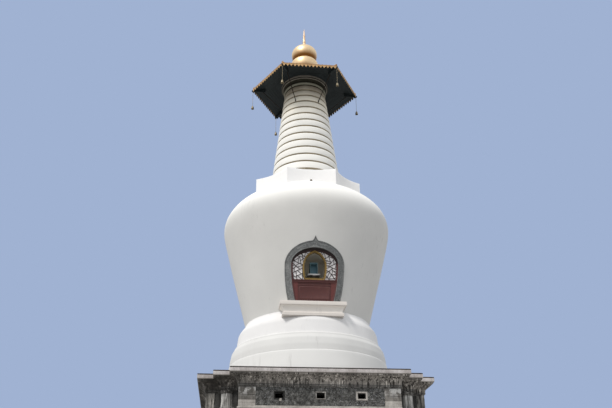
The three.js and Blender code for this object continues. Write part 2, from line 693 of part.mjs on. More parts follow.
function addCanopy(zCapitalTop) {
  const zMiddle = zCapitalTop + SEAM;
  const inR = EAVE_R - FASCIA_T / Math.cos(Math.PI / 6) - SEAM;
  let boards = solid(sixSided([
    [0, zMiddle],
    [CEILING_FLAT_R, zMiddle],
    [inR, Z_EAVE],
    [inR, Z_EAVE + CEILING_T],
    [CEILING_FLAT_R, zMiddle + CEILING_T],
    [0, zMiddle + CEILING_T],
  ]));
  const sides = [0, 1, 2, 3, 4, 5].map((i) =>
    eaveSide().rotate([0, 0, 60 * i]));
  let eave = sides.reduce((sum, next) => sum.add(next));
  const slotHalf = BEAM.half + SEAM;
  const slot = solid(block(-slotHalf, slotHalf, -BEAM.to, -BEAM.from, Z_BEAM, Z_EAVE));
  for (let i = 0; i < 6; i++) {
    const turn = [0, 0, THREE.MathUtils.radToDeg(cornerTurn(i))];
    boards = boards.add(cornerBeam(zMiddle).rotate(turn));
    eave = eave.subtract(slot.rotate(turn));
  }
  place("canopy_ceiling", geometryOf(boards), "boards");
  place("canopy_eave", geometryOf(eave), "gilt");
  const zEdge = Z_EAVE + EAVE_BAND_H + SEAM;
  place("canopy_roof", sixSided([
    [0, zMiddle + CEILING_T + SEAM],
    [CEILING_FLAT_R, zMiddle + CEILING_T + SEAM],
    [inR, Z_EAVE + CEILING_T + SEAM],
    [inR, zEdge],
    [EAVE_R, zEdge],
    [EAVE_R, zEdge + ROOF_EDGE_H],
    [2350, zEdge + 480],
    [1400, zEdge + 920],
    [ROOF_TOP_R + 40, Z_FINIAL - 90],
    [ROOF_TOP_R, Z_FINIAL - SEAM],
    [0, Z_FINIAL - SEAM],
  ]), "tile");
  return boards;
}

// A corner beam with the clevis and pin under its nose, drawn pointing to the front.
function cornerBeam(zMiddle) {
  const { from, to, half } = BEAM;
  const y = -BELL_HANG_R;
  const inR = EAVE_R - FASCIA_T / Math.cos(Math.PI / 6) - SEAM;
  const soffit = (r) => Z_EAVE + ((zMiddle - Z_EAVE) * (inR - r)) / (inR - CEILING_FLAT_R);
  let beam = solid(sideways(shapeOf([
    [-to, Z_BEAM],
    [-from, Z_BEAM],
    [-from, soffit(from) + CEILING_T / 2],
    [-inR + 60, soffit(inR - 60) + CEILING_T / 2],
    [-inR + 60, Z_EAVE - SEAM],
    [-to, Z_EAVE - SEAM],
  ]), -half, half));
  for (const side of [-1, 1]) {
    const x = side * (CLEVIS_GAP + CLEVIS_T / 2);
    beam = beam
      .add(solid(block(x - CLEVIS_T / 2, x + CLEVIS_T / 2, y - CLEVIS_R, y + CLEVIS_R, Z_PIN, Z_BEAM + 5)))
      .add(acrossX(CLEVIS_R, CLEVIS_T, 16).translate(x, y, Z_PIN));
  }
  return beam.add(acrossX(PIN_R, 2 * (CLEVIS_GAP + CLEVIS_T), 16).translate(0, y, Z_PIN));
}

// A round bar of a given length that lies along X, centred on the origin.
function acrossX(r, length, facets) {
  return solid(new THREE.CylinderGeometry(r, r, length, facets).rotateZ(Math.PI / 2));
}

// An iron strut under each corner, cut to the neck at its foot and to the boards at its head.
function addStruts(neck, boards) {
  const rise = STRUT_HEAD.z - STRUT_FOOT.z;
  const run = STRUT_HEAD.r - STRUT_FOOT.r;
  const length = Math.hypot(rise, run);
  for (let i = 0; i < 6; i++) {
    const turn = cornerTurn(i);
    const strut = new THREE.CylinderGeometry(STRUT_R, STRUT_R, length, 8)
      .rotateX(Math.PI / 2 + Math.atan2(run, rise))
      .translate(0, -(STRUT_FOOT.r + STRUT_HEAD.r) / 2, (STRUT_FOOT.z + STRUT_HEAD.z) / 2)
      .rotateZ(turn);
    const out = [SEAM * Math.sin(turn), -SEAM * Math.cos(turn), 0];
    const cut = solid(strut).subtract(neck.translate(out)).subtract(boards.translate([0, 0, -SEAM]));
    place(`canopy_strut_${i + 1}`, geometryOf(largest(cut)), "iron");
  }
}

function addBells() {
  const zCap = Z_PIN - ROD_L;
  const zLip = zCap - BELL_H;
  const zEyeFoot = Z_PIN - EYE_R + 4;
  const bell = solid(turned([
    [0, zCap - 55],
    [BELL_R * 0.5 - BELL_WALL, zCap - 60],
    [BELL_R * 0.75 - BELL_WALL, zCap - 150],
    [BELL_R - BELL_WALL, zLip],
    [BELL_R, zLip],
    [BELL_R * 0.8, zCap - 140],
    [BELL_R * 0.62, zCap - 40],
    [BELL_R * 0.3, zCap],
    [ROD_R, zCap + 15],
    [ROD_R, zEyeFoot],
    [0, zEyeFoot],
  ], 12));
  const bore = (PIN_R + EYE_CLEARANCE) / Math.cos(Math.PI / 16);
  const eye = acrossX(EYE_R, EYE_T, 16).subtract(acrossX(bore, EYE_T + 4, 16)).translate(0, 0, Z_PIN);
  const hanging = bell.add(eye).translate(0, -BELL_HANG_R, 0);
  for (let i = 0; i < 6; i++) {
    const turned = hanging.rotate([0, 0, THREE.MathUtils.radToDeg(cornerTurn(i))]);
    place(`wind_bell_${i + 1}`, geometryOf(turned), "bronze");
  }
}

// The side of a round bulb, from its foot out to its widest point and in to its top.
function bulb(zLow, rLow, { r, z }, zHigh, rHigh, steps = 4) {
  const points = [];
  for (let i = 0; i <= 2 * steps; i++) {
    const rising = i <= steps;
    const angle = (Math.abs(i - steps) / steps) * (Math.PI / 2);
    const [rEnd, zEnd] = rising ? [rLow, zLow] : [rHigh, zHigh];
    points.push([rEnd + (r - rEnd) * Math.cos(angle), z + (zEnd - z) * Math.sin(angle)]);
  }
  return points;
}

function addFinial() {
  const lower = bulb(Z_FINIAL, GOURD_FOOT_R, GOURD_LOW, Z_GOURD_WAIST - SEAM, GOURD_WAIST_R);
  place("finial_lower_bulb", turned([[0, Z_FINIAL], ...lower, [0, Z_GOURD_WAIST - SEAM]], 28), "gold");
  const upper = bulb(Z_GOURD_WAIST, GOURD_WAIST_R, GOURD_HIGH, Z_GOURD_TOP - SEAM, 160);
  place("finial_upper_bulb", turned([[0, Z_GOURD_WAIST], ...upper, [0, Z_GOURD_TOP - SEAM]], 28), "gold");
  place("finial_spike", turned([
    [0, Z_GOURD_TOP],
    [155, Z_GOURD_TOP],
    [120, Z_GOURD_TOP + 130],
    [95, Z_GOURD_TOP + 400],
    [110, Z_GOURD_TOP + 480],
    [90, Z_GOURD_TOP + 560],
    [68, Z_GOURD_TOP + 980],
    [80, Z_GOURD_TOP + 1040],
    [52, Z_GOURD_TOP + 1110],
    [12, Z_TIP],
    [0, Z_TIP],
  ], 16), "gold");
}

addPedestal();
addWaist();
addBaseRings();
addDome();
addSill();
addScreen();
addAltar();
const neck = addNeck();
const boards = addCanopy(neck.zTop);
addStruts(neck.body, boards);
addBells();
addFinial();

export default root;
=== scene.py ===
# Looks for a white bottle-shaped stupa on a grey stepped pedestal.
# Metres, +Z up; the niche faces -Y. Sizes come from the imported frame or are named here.
import math
import random
from itertools import groupby

import bmesh
import bpy
from mathutils import Matrix, Vector, noise


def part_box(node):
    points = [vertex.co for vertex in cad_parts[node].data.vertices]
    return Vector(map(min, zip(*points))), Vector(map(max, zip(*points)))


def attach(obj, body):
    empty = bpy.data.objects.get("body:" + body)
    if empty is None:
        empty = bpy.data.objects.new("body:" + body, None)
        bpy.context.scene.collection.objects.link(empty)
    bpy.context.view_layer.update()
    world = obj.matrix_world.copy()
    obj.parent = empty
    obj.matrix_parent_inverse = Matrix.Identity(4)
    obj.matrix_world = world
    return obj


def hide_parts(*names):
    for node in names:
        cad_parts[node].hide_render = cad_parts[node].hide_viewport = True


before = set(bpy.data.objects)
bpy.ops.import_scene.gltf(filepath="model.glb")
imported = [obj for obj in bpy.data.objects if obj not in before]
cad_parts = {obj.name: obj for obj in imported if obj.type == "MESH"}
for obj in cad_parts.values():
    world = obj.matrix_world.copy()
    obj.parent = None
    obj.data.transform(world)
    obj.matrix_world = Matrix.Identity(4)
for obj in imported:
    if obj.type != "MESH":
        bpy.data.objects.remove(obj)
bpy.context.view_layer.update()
scene = bpy.context.scene


def low(node):
    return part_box(node)[0]


def high(node):
    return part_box(node)[1]


TAU = 2 * math.pi
COS_30 = math.cos(math.pi / 6)
ROUND = 176  # segments round the large turned pieces

# Pedestal
CORNICE_HALF = high("pedestal_cornice").x
WALL_OUT = high("waist_wall_right").x  # from the axis to the posts' faces
WALL_HALF = high("waist_wall_front").x
WAIST_INSET = CORNICE_HALF - WALL_OUT
FRONT_HALF = WALL_HALF + WAIST_INSET
STEP_HALF = (CORNICE_HALF + FRONT_HALF) / 2
Z_FOOT = high("pedestal_foot").z
Z_WAIST = low("waist_core").z
Z_WAIST_TOP = low("pedestal_upper_moulding").z
Z_CORNICE = low("pedestal_cornice").z
Z_TOP = low("base_ring_1").z
FASCIA_H = Z_TOP - Z_CORNICE
FASCIA_CRUST_H = 0.065
FILLET_H = 0.06
FILLET_INSET = 0.05
BEAD_H = 0.15
BEAD_INSET = 0.38
MOULDING_DEPTH = 1.2  # how far in the mouldings' courses reach
JOINT_GROOVE = 0.012
POST_W = 0.77
POST_DEEP = 0.4
PANEL_FACE = 0.04 - WALL_OUT
PANEL_HALF = WALL_HALF - POST_W
PANEL_COLUMNS, PANEL_ROWS = 34, 6
POCKET_W = 0.37
POCKET_H = 0.255
POCKETS_X = (-1.89, 0, 1.89)
POCKET_Z = Z_TOP - 1.185
POCKET_DEEP = 0.36
SHAFT_R = 0.30
SHAFT_PROUD = 0.045
SHAFT_FLUTES = 20
CORE_SINK = 0.12

# Base rings and dome: each wall is (radius, height over the ring's foot) from the foot up.
Z_DOME = low("dome_left_wall").z
Z_WIDEST = Z_TOP + 9.13
Z_CROWN = high("dome_crown").z
WIDEST_R = 4.76
FLARE_SLOPE = 0.265
FLARE_TURN = 0.4
SHOULDER_RISE = 2.47
SHOULDER_POWER = 2.1
RING_WALLS = {
    "base_ring_1": [(4.295, 0), (4.27, 0.5), (4.22, 1.12), (4.213, 1.18), (4.205, 1.235), (4.175, 1.268)],
    "base_ring_2": [(4.18, 0), (4.157, 0.3), (4.085, 0.64), (3.97, 0.83), (3.96, 0.88), (3.93, 0.925),
                    (3.865, 0.956)],
    "base_ring_3": [(3.84, 0), (3.80, 0.33), (3.755, 0.65), (3.70, 0.78), (3.61, 0.91), (3.49, 1.06),
                    (3.41, 1.18), (3.374, 1.279)],
}

# Niche
Z_SILL = low("niche_frame").z
Z_SPRING = Z_TOP + 5.8
FRAME_OUTER = {"half": 1.555, "rise": 1.12, "drop": 3.65}
FRAME_INNER = {"half": 1.215, "rise": 0.76, "drop": 3.15}
FRAME_TIP_H = 0.26
FRAME_TIP_HALF = 0.15
CHAMBER_BACK = -2.15
SILL_FRONT = low("niche_sill").y
SILL_BACK = -2.9
SILL_X = (low("niche_sill").x + high("niche_sill").x) / 2
SILL_HALF = high("niche_sill").x - SILL_X

# Screen
SCREEN_LEAN = math.radians(12)
SCREEN_Y = -3.35
Z_RAIL = Z_TOP + 5.01
RAIL_H = 0.12
BORDER = 0.075
ARCH_HALF = 0.525
ARCH_FOOT_HALF = 0.45
ARCH_BULGE_Z = Z_RAIL + 0.68
ARCH_PEAK_Z = Z_RAIL + 1.49
ARCH_W = 0.095
BAR_HALF = 0.0115
SMALLEST_CELL = 0.052  # square metres of lattice that aren't split further

# Neck
SEAT_R = 3.33
SEAT_HALF_ANGLE = 24.4
SEAT_SAG_MAIN = 0.24
SEAT_SAG_CORNER = 0.22
Z_SEAT_FOOT = Z_TOP + 10.3
Z_SEAT = high("neck_seat").z
VENT_R = 0.065
Z_VENT = Z_TOP + 11.3
Z_FIRST_RING = Z_TOP + 12.47
RING_COUNT = 13
RING_PITCH = 0.54
RING_PITCH_LOSS = 0.00077
RING_R = 2.06
RING_TAPER = 0.121
GROOVE_H = 0.07
GROOVE_IN = 0.08
Z_CAPITAL = Z_FIRST_RING + sum(RING_PITCH - i * i * RING_PITCH_LOSS for i in range(RING_COUNT))
CAPITAL_H = 0.63

# Canopy
EAVE_R = 3.375
APOTHEM = EAVE_R * COS_30
Z_TEETH = Z_TOP + 19.145
TEETH = 15
TOOTH_H = 0.14
TOOTH_PITCH = EAVE_R / TEETH
Z_EAVE = Z_TEETH + TOOTH_H
EAVE_BAND_H = 0.06
ROOF_EDGE_H = 0.04
CEILING_T = 0.05
Z_CEILING = high("neck_capital").z
CEILING_FLAT_R = 1.86
SOFFIT_R = EAVE_R - 0.045 / COS_30 - 0.001
SOFFIT_ROWS = 8
BEAM_HALF = 0.032
BEAM_H = 0.1
BEAM_OUT = 3.43
BEAM_IN = 2.55
PIN_Y = -3.35
Z_PIN = Z_EAVE - BEAM_H - 0.045
STRUT_FOOT_R = 1.365
STRUT_HEAD_R = 2.95
Z_STRUT_FOOT = Z_TOP + 17.76
Z_STRUT_HEAD = Z_EAVE + 0.16
BELL_R = 0.092
BELL_WALL = 0.016
BELL_H = 0.215
ROD_R = 0.009

# Finial
Z_FINIAL = low("finial_lower_bulb").z
ROOF_TOP_R = 0.66
ROOF_RUN = APOTHEM - ROOF_TOP_R * COS_30  # level distance from the eave to the roof's top
GOURD_LOW = {"r": 0.90, "z": Z_TOP + 21.44}
GOURD_HIGH = {"r": 0.835, "z": Z_TOP + 22.37}
GOURD_WAIST_R = 0.60


# Mesh helpers


def curve(a, c, b, steps):
    """Points along a curve from a, drawn towards c, as far as the last step before b."""
    points = []
    for i in range(steps):
        t = i / steps
        points.append(tuple(p * (1 - t) ** 2 + q * 2 * t * (1 - t) + r * t * t for p, q, r in zip(a, c, b)))
    return points


def rounded(points, radius, steps=3):
    """Rounds the inner corners of an open line of (a, b) pairs."""
    out = [points[0]]
    for before, corner, after in zip(points, points[1:], points[2:]):
        c = Vector(corner)
        u, v = Vector(before) - c, Vector(after) - c
        reach = min(radius, u.length * 0.45, v.length * 0.45)
        if reach < 1e-5:
            out.append(tuple(c))
            continue
        end = c + v.normalized() * reach
        out += curve(c + u.normalized() * reach, c, end, steps) + [tuple(end)]
    out.append(points[-1])
    return out


def arc(a, b, reach_a, reach_b, start, end, steps):
    """Points round (a, b) as pairs, from start to end in quarter turns."""
    angles = [(start + (end - start) * i / steps) * math.pi / 2 for i in range(steps + 1)]
    return [(a + reach_a * math.cos(angle), b + reach_b * math.sin(angle)) for angle in angles]


def circle(radius, count, a=0.0, b=0.0):
    """Points round the centre (a, b) as pairs, anticlockwise."""
    angles = [TAU * i / count for i in range(count)]
    return [(a + radius * math.cos(angle), b + radius * math.sin(angle)) for angle in angles]


def rectangle(a0, a1, b0, b1, inset=0.0):
    """The corners of a rectangle as pairs, anticlockwise, each side moved in by inset."""
    a0, a1, b0, b1 = a0 + inset, a1 - inset, b0 + inset, b1 - inset
    return [(a0, b0), (a1, b0), (a1, b1), (a0, b1)]


def facing(points, y):
    """Pairs of (x, z) as points on an upright plane at y."""
    return [(x, y, z) for x, z in points]


def belt(a, b, n):
    """The faces between two rings of n points that start at a and at b."""
    return [(a + i, a + (i + 1) % n, b + (i + 1) % n, b + i) for i in range(n)]


def quarter_turns(points):
    """A quarter of a four-sided plan repeated round the axis."""
    return [(c * x - s * y, s * x + c * y) for c, s in ((1, 0), (0, 1), (-1, 0), (0, -1)) for x, y in points]


def make(name, verts, faces, material, slot, body="stupa", stands_for=(), crease=35, inks=None):
    """Adds a mesh piece that rides on a body. inks is one material number for each face."""
    mesh = bpy.data.meshes.new(name)
    mesh.from_pydata([tuple(v) for v in verts], [], faces)
    for m in material if isinstance(material, (list, tuple)) else [material]:
        mesh.materials.append(m)
    if inks:
        mesh.polygons.foreach_set("material_index", inks)
    mesh.shade_smooth()
    mesh.set_sharp_from_angle(angle=math.radians(crease))
    mesh.update()
    piece = bpy.data.objects.new(name, mesh)
    scene.collection.objects.link(piece)
    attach(piece, body)
    if stands_for:
        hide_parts(*stands_for)
    return piece


class Solids:
    """Gathers several closed solids into one mesh."""

    def __init__(self):
        self.verts = []
        self.faces = []
        self.inks = []

    def add(self, verts, faces, ink=0):
        start = len(self.verts)
        self.verts += [Vector(v) for v in verts]
        self.faces += [tuple(i + start for i in face) for face in faces]
        self.inks += [ink] * len(faces) if isinstance(ink, int) else list(ink)

    def put(self, part, angle=0.0, ink=None):
        """Adds another gathering, turned about Z, in its own inks unless one is given."""
        turn = Matrix.Rotation(angle, 3, "Z")
        self.add([turn @ v for v in part.verts], part.faces, part.inks if ink is None else ink)

    def put_six(self, part, first=0.0):
        """Adds a gathering six times round the axis, the first turned by so much."""
        for i in range(6):
            self.put(part, first + i * math.pi / 3)

    def put_round(self, part, ink=None, sides=(0, 1, 2, 3)):
        """Adds a gathering to sides of the pedestal: 0 front, 1 right, 2 back, 3 left."""
        for side in sides:
            self.put(part, side * math.pi / 2, ink)

    def box(self, x0, x1, y0, y1, z0, z1, ink=0, edge=0.0):
        """A box with chamfered front edges where edge is given."""
        if edge:
            places = ((edge, y0), (0, y0 + edge), (0, y1))
            self.tube([facing(rectangle(x0, x1, z0, z1, inset), y) for inset, y in places], ink)
            return
        corners = [(x, y, z) for z in (z0, z1) for y in (y0, y1) for x in (x0, x1)]
        faces = [(0, 2, 3, 1), (4, 5, 7, 6), (0, 1, 5, 4), (1, 3, 7, 5), (3, 2, 6, 7), (2, 0, 4, 6)]
        self.add(corners, faces, ink)

    def tube(self, rings, ink=0, closed=False):
        """Joins rings of equal count, each in order, and caps the ends unless closed."""
        n, count = len(rings[0]), len(rings)
        faces = []
        for j in range(count if closed else count - 1):
            faces += belt(j * n, (j + 1) % count * n, n)
        if not closed:
            faces += [tuple(reversed(range(n))), tuple(range((count - 1) * n, count * n))]
        self.add([v for ring in rings for v in ring], faces, ink)

    def make(self, name, material, slot, **options):
        inks = self.inks if isinstance(material, (list, tuple)) else None
        return make(name, self.verts, self.faces, material, slot, inks=inks, **options)


def lathe(profile, segments=ROUND, shape=None):
    """A turned solid from (radius, z) pairs that run from the axis, up the side, to the axis."""
    rows = profile[1:-1]
    verts = [Vector((0, 0, profile[0][1]))]
    for r, z in rows:
        ring = [Vector((x, y, z)) for x, y in circle(r, segments)]
        verts += [shape(point) for point in ring] if shape else ring
    verts.append(Vector((0, 0, profile[-1][1])))
    n = segments
    faces = [(0, 1 + (i + 1) % n, 1 + i) for i in range(n)]
    for j in range(len(rows) - 1):
        faces += belt(1 + j * n, 1 + (j + 1) * n, n)
    last = len(verts) - 1
    faces += [(last - n + i, last - n + (i + 1) % n, last) for i in range(n)]
    return verts, faces


def lathe_inks(profile, ink_of):
    """Material numbers for a lathe() of ROUND segments, asked of ink_of(row) for each band."""
    inks = [0] * ROUND
    for row in range(len(profile) - 3):
        inks += [ink_of(row)] * ROUND
    return inks + [0] * ROUND


def by_hand(amount, size=1.1):
    """Moves a point of a turned wall in or out a little, as trowelled plaster lies."""
    def shape(point):
        out = Vector((point.x, point.y, 0))
        if out.length < 0.05:
            return point
        return point + out.normalized() * amount * noise.noise(point / size)
    return shape


def stacked(outline, levels):
    """A solid of stacked outlines: levels are (inset, z) pairs, and outline(inset) gives (x, y) pairs."""
    verts = [Vector((x, y, z)) for inset, z in levels for x, y in outline(inset)]
    n = len(verts) // len(levels)
    faces = [tuple(reversed(range(n)))]
    for j in range(len(levels) - 1):
        faces += belt(j * n, (j + 1) * n, n)
    faces.append(tuple(range(len(verts) - n, len(verts))))
    return verts, faces


# Material helpers


def tint(colour, factor):
    """The colour made lighter or darker by a factor, or by one factor for each channel."""
    factors = factor if isinstance(factor, tuple) else (factor,) * 3
    return tuple(min(1, c * f) for c, f in zip(colour, factors))


class Paint:
    """One procedural material: a Principled shader and the node calls that feed it."""

    def __init__(self, name, roughness=0.8, metallic=0.0, **sockets):
        self.material = bpy.data.materials.new(name)
        self.material.use_nodes = True
        self.tree = self.material.node_tree
        self.tree.nodes.clear()
        out = self.tree.nodes.new("ShaderNodeOutputMaterial")
        self.shader = self.tree.nodes.new("ShaderNodeBsdfPrincipled")
        self.tree.links.new(self.shader.outputs["BSDF"], out.inputs["Surface"])
        self.shader.inputs["Roughness"].default_value = roughness
        self.shader.inputs["Metallic"].default_value = metallic
        for socket, value in sockets.items():
            self.shader.inputs[socket.replace("_", " ")].default_value = value
        coordinates = self.tree.nodes.new("ShaderNodeTexCoord")
        self.place = coordinates.outputs["Object"]
        split = self.tree.nodes.new("ShaderNodeSeparateXYZ")
        self.tree.links.new(self.place, split.inputs[0])
        self.x, self.y, self.z = split.outputs

    def link(self, value, socket):
        if isinstance(value, bpy.types.NodeSocket):
            self.tree.links.new(value, socket)
        elif isinstance(value, (tuple, list)) and len(value) == 3 and len(socket.default_value) == 4:
            socket.default_value = (*value, 1)
        else:
            socket.default_value = value

    def span(self, value, low_in, high_in, low_out=0.0, high_out=1.0):
        """Maps the value smoothly from one range to another, held at both ends."""
        node = self.tree.nodes.new("ShaderNodeMapRange")
        node.interpolation_type = "SMOOTHSTEP"
        for socket, number in zip(node.inputs[1:5], (low_in, high_in, low_out, high_out)):
            socket.default_value = number
        self.link(value, node.inputs[0])
        return node.outputs[0]

    def noise(self, size, detail=4, stretch=(1, 1, 1), shift=(0, 0, 0), rough=0.55):
        mapping = self.tree.nodes.new("ShaderNodeMapping")
        self.link(self.place, mapping.inputs["Vector"])
        mapping.inputs["Scale"].default_value = stretch
        mapping.inputs["Location"].default_value = shift
        node = self.tree.nodes.new("ShaderNodeTexNoise")
        self.link(mapping.outputs[0], node.inputs["Vector"])
        for socket, value in (("Scale", 1 / size), ("Detail", detail), ("Roughness", rough)):
            node.inputs[socket].default_value = value
        return node.outputs["Fac"]

    def spots(self, low_in, high_in, size, *noise_args, low_out=0.0, high_out=1.0, **noise_options):
        """A mask of noise patches: low_out under low_in, high_out over high_in."""
        cloud = self.noise(size, *noise_args, **noise_options)
        return self.span(cloud, low_in, high_in, low_out, high_out)

    def ramp(self, value, stops):
        node = self.tree.nodes.new("ShaderNodeValToRGB")
        self.link(value, node.inputs[0])
        set_stops(node, stops)
        return node.outputs["Color"]

    def mix(self, share, a, b, mode="MIX"):
        node = self.tree.nodes.new("ShaderNodeMix")
        node.data_type = "RGBA"
        node.blend_type = mode
        self.link(share, node.inputs["Factor"])
        self.link(a, node.inputs[6])
        self.link(b, node.inputs[7])
        return node.outputs[2]

    def stain(self, base, colour, share, *masks):
        """Mixes the colour over the base by the share, where all the masks are high."""
        for mask in masks:
            node = self.tree.nodes.new("ShaderNodeMath")
            node.operation = "MULTIPLY"
            self.link(mask, node.inputs[0])
            self.link(share, node.inputs[1])
            share = node.outputs[0]
        return self.mix(share, base, colour)

    def finish(self, base, *layers, roughness=None):
        """Sets the colour and the relief, each layer as (height, depth in metres, strength)."""
        self.link(base, self.shader.inputs["Base Color"])
        if roughness:
            self.link(roughness, self.shader.inputs["Roughness"])
        normal = None
        for height, depth, strength in layers:
            node = self.tree.nodes.new("ShaderNodeBump")
            node.inputs["Strength"].default_value = strength
            node.inputs["Distance"].default_value = depth
            self.link(height, node.inputs["Height"])
            if normal:
                self.tree.links.new(normal, node.inputs["Normal"])
            normal = node.outputs["Normal"]
        if normal:
            self.tree.links.new(normal, self.shader.inputs["Normal"])
        return self.material


def set_stops(node, stops):
    """Gives a colour ramp its (place, colour) stops."""
    elements = node.color_ramp.elements
    while len(elements) < len(stops):
        elements.new(0.5)
    for element, (place, colour) in zip(elements, stops):
        element.position = place
        element.color = (*colour, 1)


def mottled(name, colours, cloud, relief, places=(0.3, 0.7), **shader):
    """A plain material: two colours in soft clouds over a fine relief.

    cloud is what noise() takes, and relief is the size, depth and strength of its grain."""
    paint = Paint(name, **shader)
    base = paint.ramp(paint.noise(**cloud), list(zip(places, colours)))
    size, depth, strength = relief
    return paint.finish(base, (paint.noise(size, 3), depth, strength))


def grime_and_shade(name, colour):
    """A dark mottled finish for dirt and painted shade in recesses: the neck's grooves and the capital's
    hollows.
    """
    return mottled(name, (colour, tint(colour, 1.7)), {"size": 0.5, "stretch": (1, 1, 3)}, (0.06, 0.004, 0.4),
                   (0.3, 0.75), roughness=0.95, Specular_IOR_Level=0.1)


def old_metal(name, colour, rust, roughness=0.55, metallic=0.8):
    return mottled(name, (colour, rust), {"size": 0.05, "rough": 0.65}, (0.015, 0.001, 0.4), (0.35, 0.7),
                   roughness=roughness, metallic=metallic)


def plaster(name, white, soot_and_shade_from=None, damp=0.35, painted_light_above=None):
    """Limewash over plaster: soft mottling, rain streaks and trowel marks.

    A tan wash and soot, with painted shade under the canopy, darken it up to and over the height where the
    soot starts; over the height given for the top it is painted whiter, as painted light on the upward-facing
    top."""
    paint = Paint(name, roughness=0.86, Specular_IOR_Level=0.25)
    base = paint.ramp(paint.noise(2.3, 5), [(0.3, tint(white, 0.93)), (0.62, white)])
    # Painted light: whiter over the given height, where the top faces the sky.
    if painted_light_above:
        base = paint.mix(paint.span(paint.z, painted_light_above, painted_light_above + 1.2), base, tint(white, 1.31))
    streaks = paint.spots(0.56, 0.74, 0.16, 3, (1, 1, 0.055), rough=0.65)
    patches = paint.spots(0.48, 0.68, 1.4, 3, (1, 1, 0.6), (4, 1, 7))
    base = paint.stain(base, (0.36, 0.35, 0.34), damp, streaks, patches)
    base = paint.stain(base, (0.52, 0.49, 0.44), 0.25, paint.spots(0.72, 0.8, 0.05, 2, shift=(3, 3, 3)))
    # Darker and browner upwards: soot and a tan wash, and partly painted shade under the canopy.
    if soot_and_shade_from:
        tan = paint.span(paint.z, soot_and_shade_from - 1.6, soot_and_shade_from + 0.4, 0.0, 0.75)
        base = paint.mix(tan, base, tint(white, (0.97, 0.90, 0.76)))
        rise = paint.span(paint.z, soot_and_shade_from, soot_and_shade_from + 1.5)
        drift = paint.spots(0.2, 0.7, 0.8, 5, (1, 1, 0.5), low_out=0.75)
        base = paint.stain(base, (0.205, 0.165, 0.115), rise, drift)
    return paint.finish(base, (paint.noise(0.9, 4), 0.02, 0.35), (paint.noise(0.045, 3), 0.004, 0.3))


def weathered_stone(name, pale, dark, streaks=0.6, spots=0.4, crusted=0.0, patched=0.0, veined=0.0):
    """Old stone or brick: pale faces with black crust that runs down in streaks.

    crusted darkens the stone towards -X, patched leaves whitish scabs high on the wall, and
    veined adds narrow pale and dark runs."""
    paint = Paint(name, roughness=0.92, Specular_IOR_Level=0.2)
    crust = paint.noise(0.55, 6, (1, 1, 0.8), rough=0.7)
    between = tuple((p + d) / 2 for p, d in zip(pale, dark))
    base = paint.ramp(crust, [(0.28, dark), (0.5, between), (0.7, pale)])
    runs = paint.spots(0.48, 0.68, 0.12, 4, (1, 1, 0.12), (2, 5, 1), rough=0.7)
    base = paint.stain(base, tint(dark, 0.55), streaks, runs)
    light = paint.spots(0.56, 0.72, 0.1, 5, (1, 1, 0.25), (9, 2, 4), rough=0.75)
    base = paint.stain(base, tint(pale, 1.35), spots, light)
    if veined:
        where = paint.spots(0.35, 0.6, 0.9, shift=(4, 4, 4), rough=0.65, low_out=0.25)
        pale_runs = paint.spots(0.54, 0.62, 0.075, 3, (1, 1, 0.07), (6, 1, 3), rough=0.7)
        base = paint.stain(base, tint(pale, 1.9), where, pale_runs)
        dark_runs = paint.spots(0.52, 0.6, 0.11, 3, (1, 1, 0.1), (1, 8, 5), rough=0.7)
        base = paint.stain(base, tint(dark, 0.35), veined, dark_runs)
    if crusted:
        drift = paint.spots(0.3, 0.6, 0.5, shift=(5, 5, 5), rough=0.7, low_out=0.3)
        base = paint.stain(base, tint(dark, 0.45), crusted, paint.span(paint.x, -2.0, -4.8), drift)
    if patched:
        high_up = paint.span(paint.z, Z_WAIST_TOP - 0.5, Z_WAIST_TOP - 0.1)
        scab = paint.spots(0.46, 0.56, 0.3, 5, shift=(2, 9, 4), rough=0.7)
        base = paint.stain(base, (0.66, 0.65, 0.63), patched, high_up, scab)
    fleck = paint.spots(0.35, 0.75, 0.02, 3, rough=0.7, low_out=0.78, high_out=1.15)
    base = paint.mix(1.0, base, fleck, "MULTIPLY")
    return paint.finish(base, (paint.noise(0.22, 5, rough=0.65), 0.02, 0.55),
                        (paint.noise(0.03, 4, rough=0.7), 0.006, 0.6))


def carved_brick(name):
    """The waist's panel: near-black brick relief with blue-grey and ashen blotches."""
    paint = Paint(name, roughness=0.93, Specular_IOR_Level=0.2)
    tones = [(0.34, (0.027, 0.026, 0.024)), (0.5, (0.10, 0.098, 0.092)), (0.66, (0.29, 0.285, 0.27))]
    base = paint.ramp(paint.noise(0.2, 6, rough=0.78), tones)
    pits = paint.spots(0.5, 0.62, 0.05, 3, shift=(1, 6, 2), rough=0.8)
    base = paint.stain(base, (0.022, 0.021, 0.020), 0.75, pits)
    drift = paint.spots(0.4, 0.62, 1.3, 3, shift=(7, 7, 7), low_out=0.25)
    ash = paint.spots(0.56, 0.64, 0.045, 3, shift=(3, 8, 1), rough=0.8)
    base = paint.stain(base, (0.42, 0.43, 0.45), ash, drift)
    return paint.finish(base, (paint.noise(0.05, 4, rough=0.7), 0.01, 0.6))


def frame_stone(name):
    """The blue-grey carved stone of the niche frame."""
    paint = Paint(name, roughness=0.8, Specular_IOR_Level=0.3)
    tones = [(0.3, (0.145, 0.152, 0.153)), (0.55, (0.20, 0.206, 0.205)), (0.75, (0.285, 0.287, 0.282))]
    base = paint.ramp(paint.noise(0.35, 5, rough=0.65), tones)
    base = paint.stain(base, (0.37, 0.37, 0.36), 0.5, paint.spots(0.52, 0.64, 0.07, 4, rough=0.7))
    dirt = paint.spots(0.54, 0.66, 0.09, 4, shift=(5, 1, 1), rough=0.7)
    base = paint.stain(base, (0.08, 0.08, 0.078), 0.6, dirt)
    return paint.finish(base, (paint.noise(0.05, 4, rough=0.65), 0.006, 0.5))


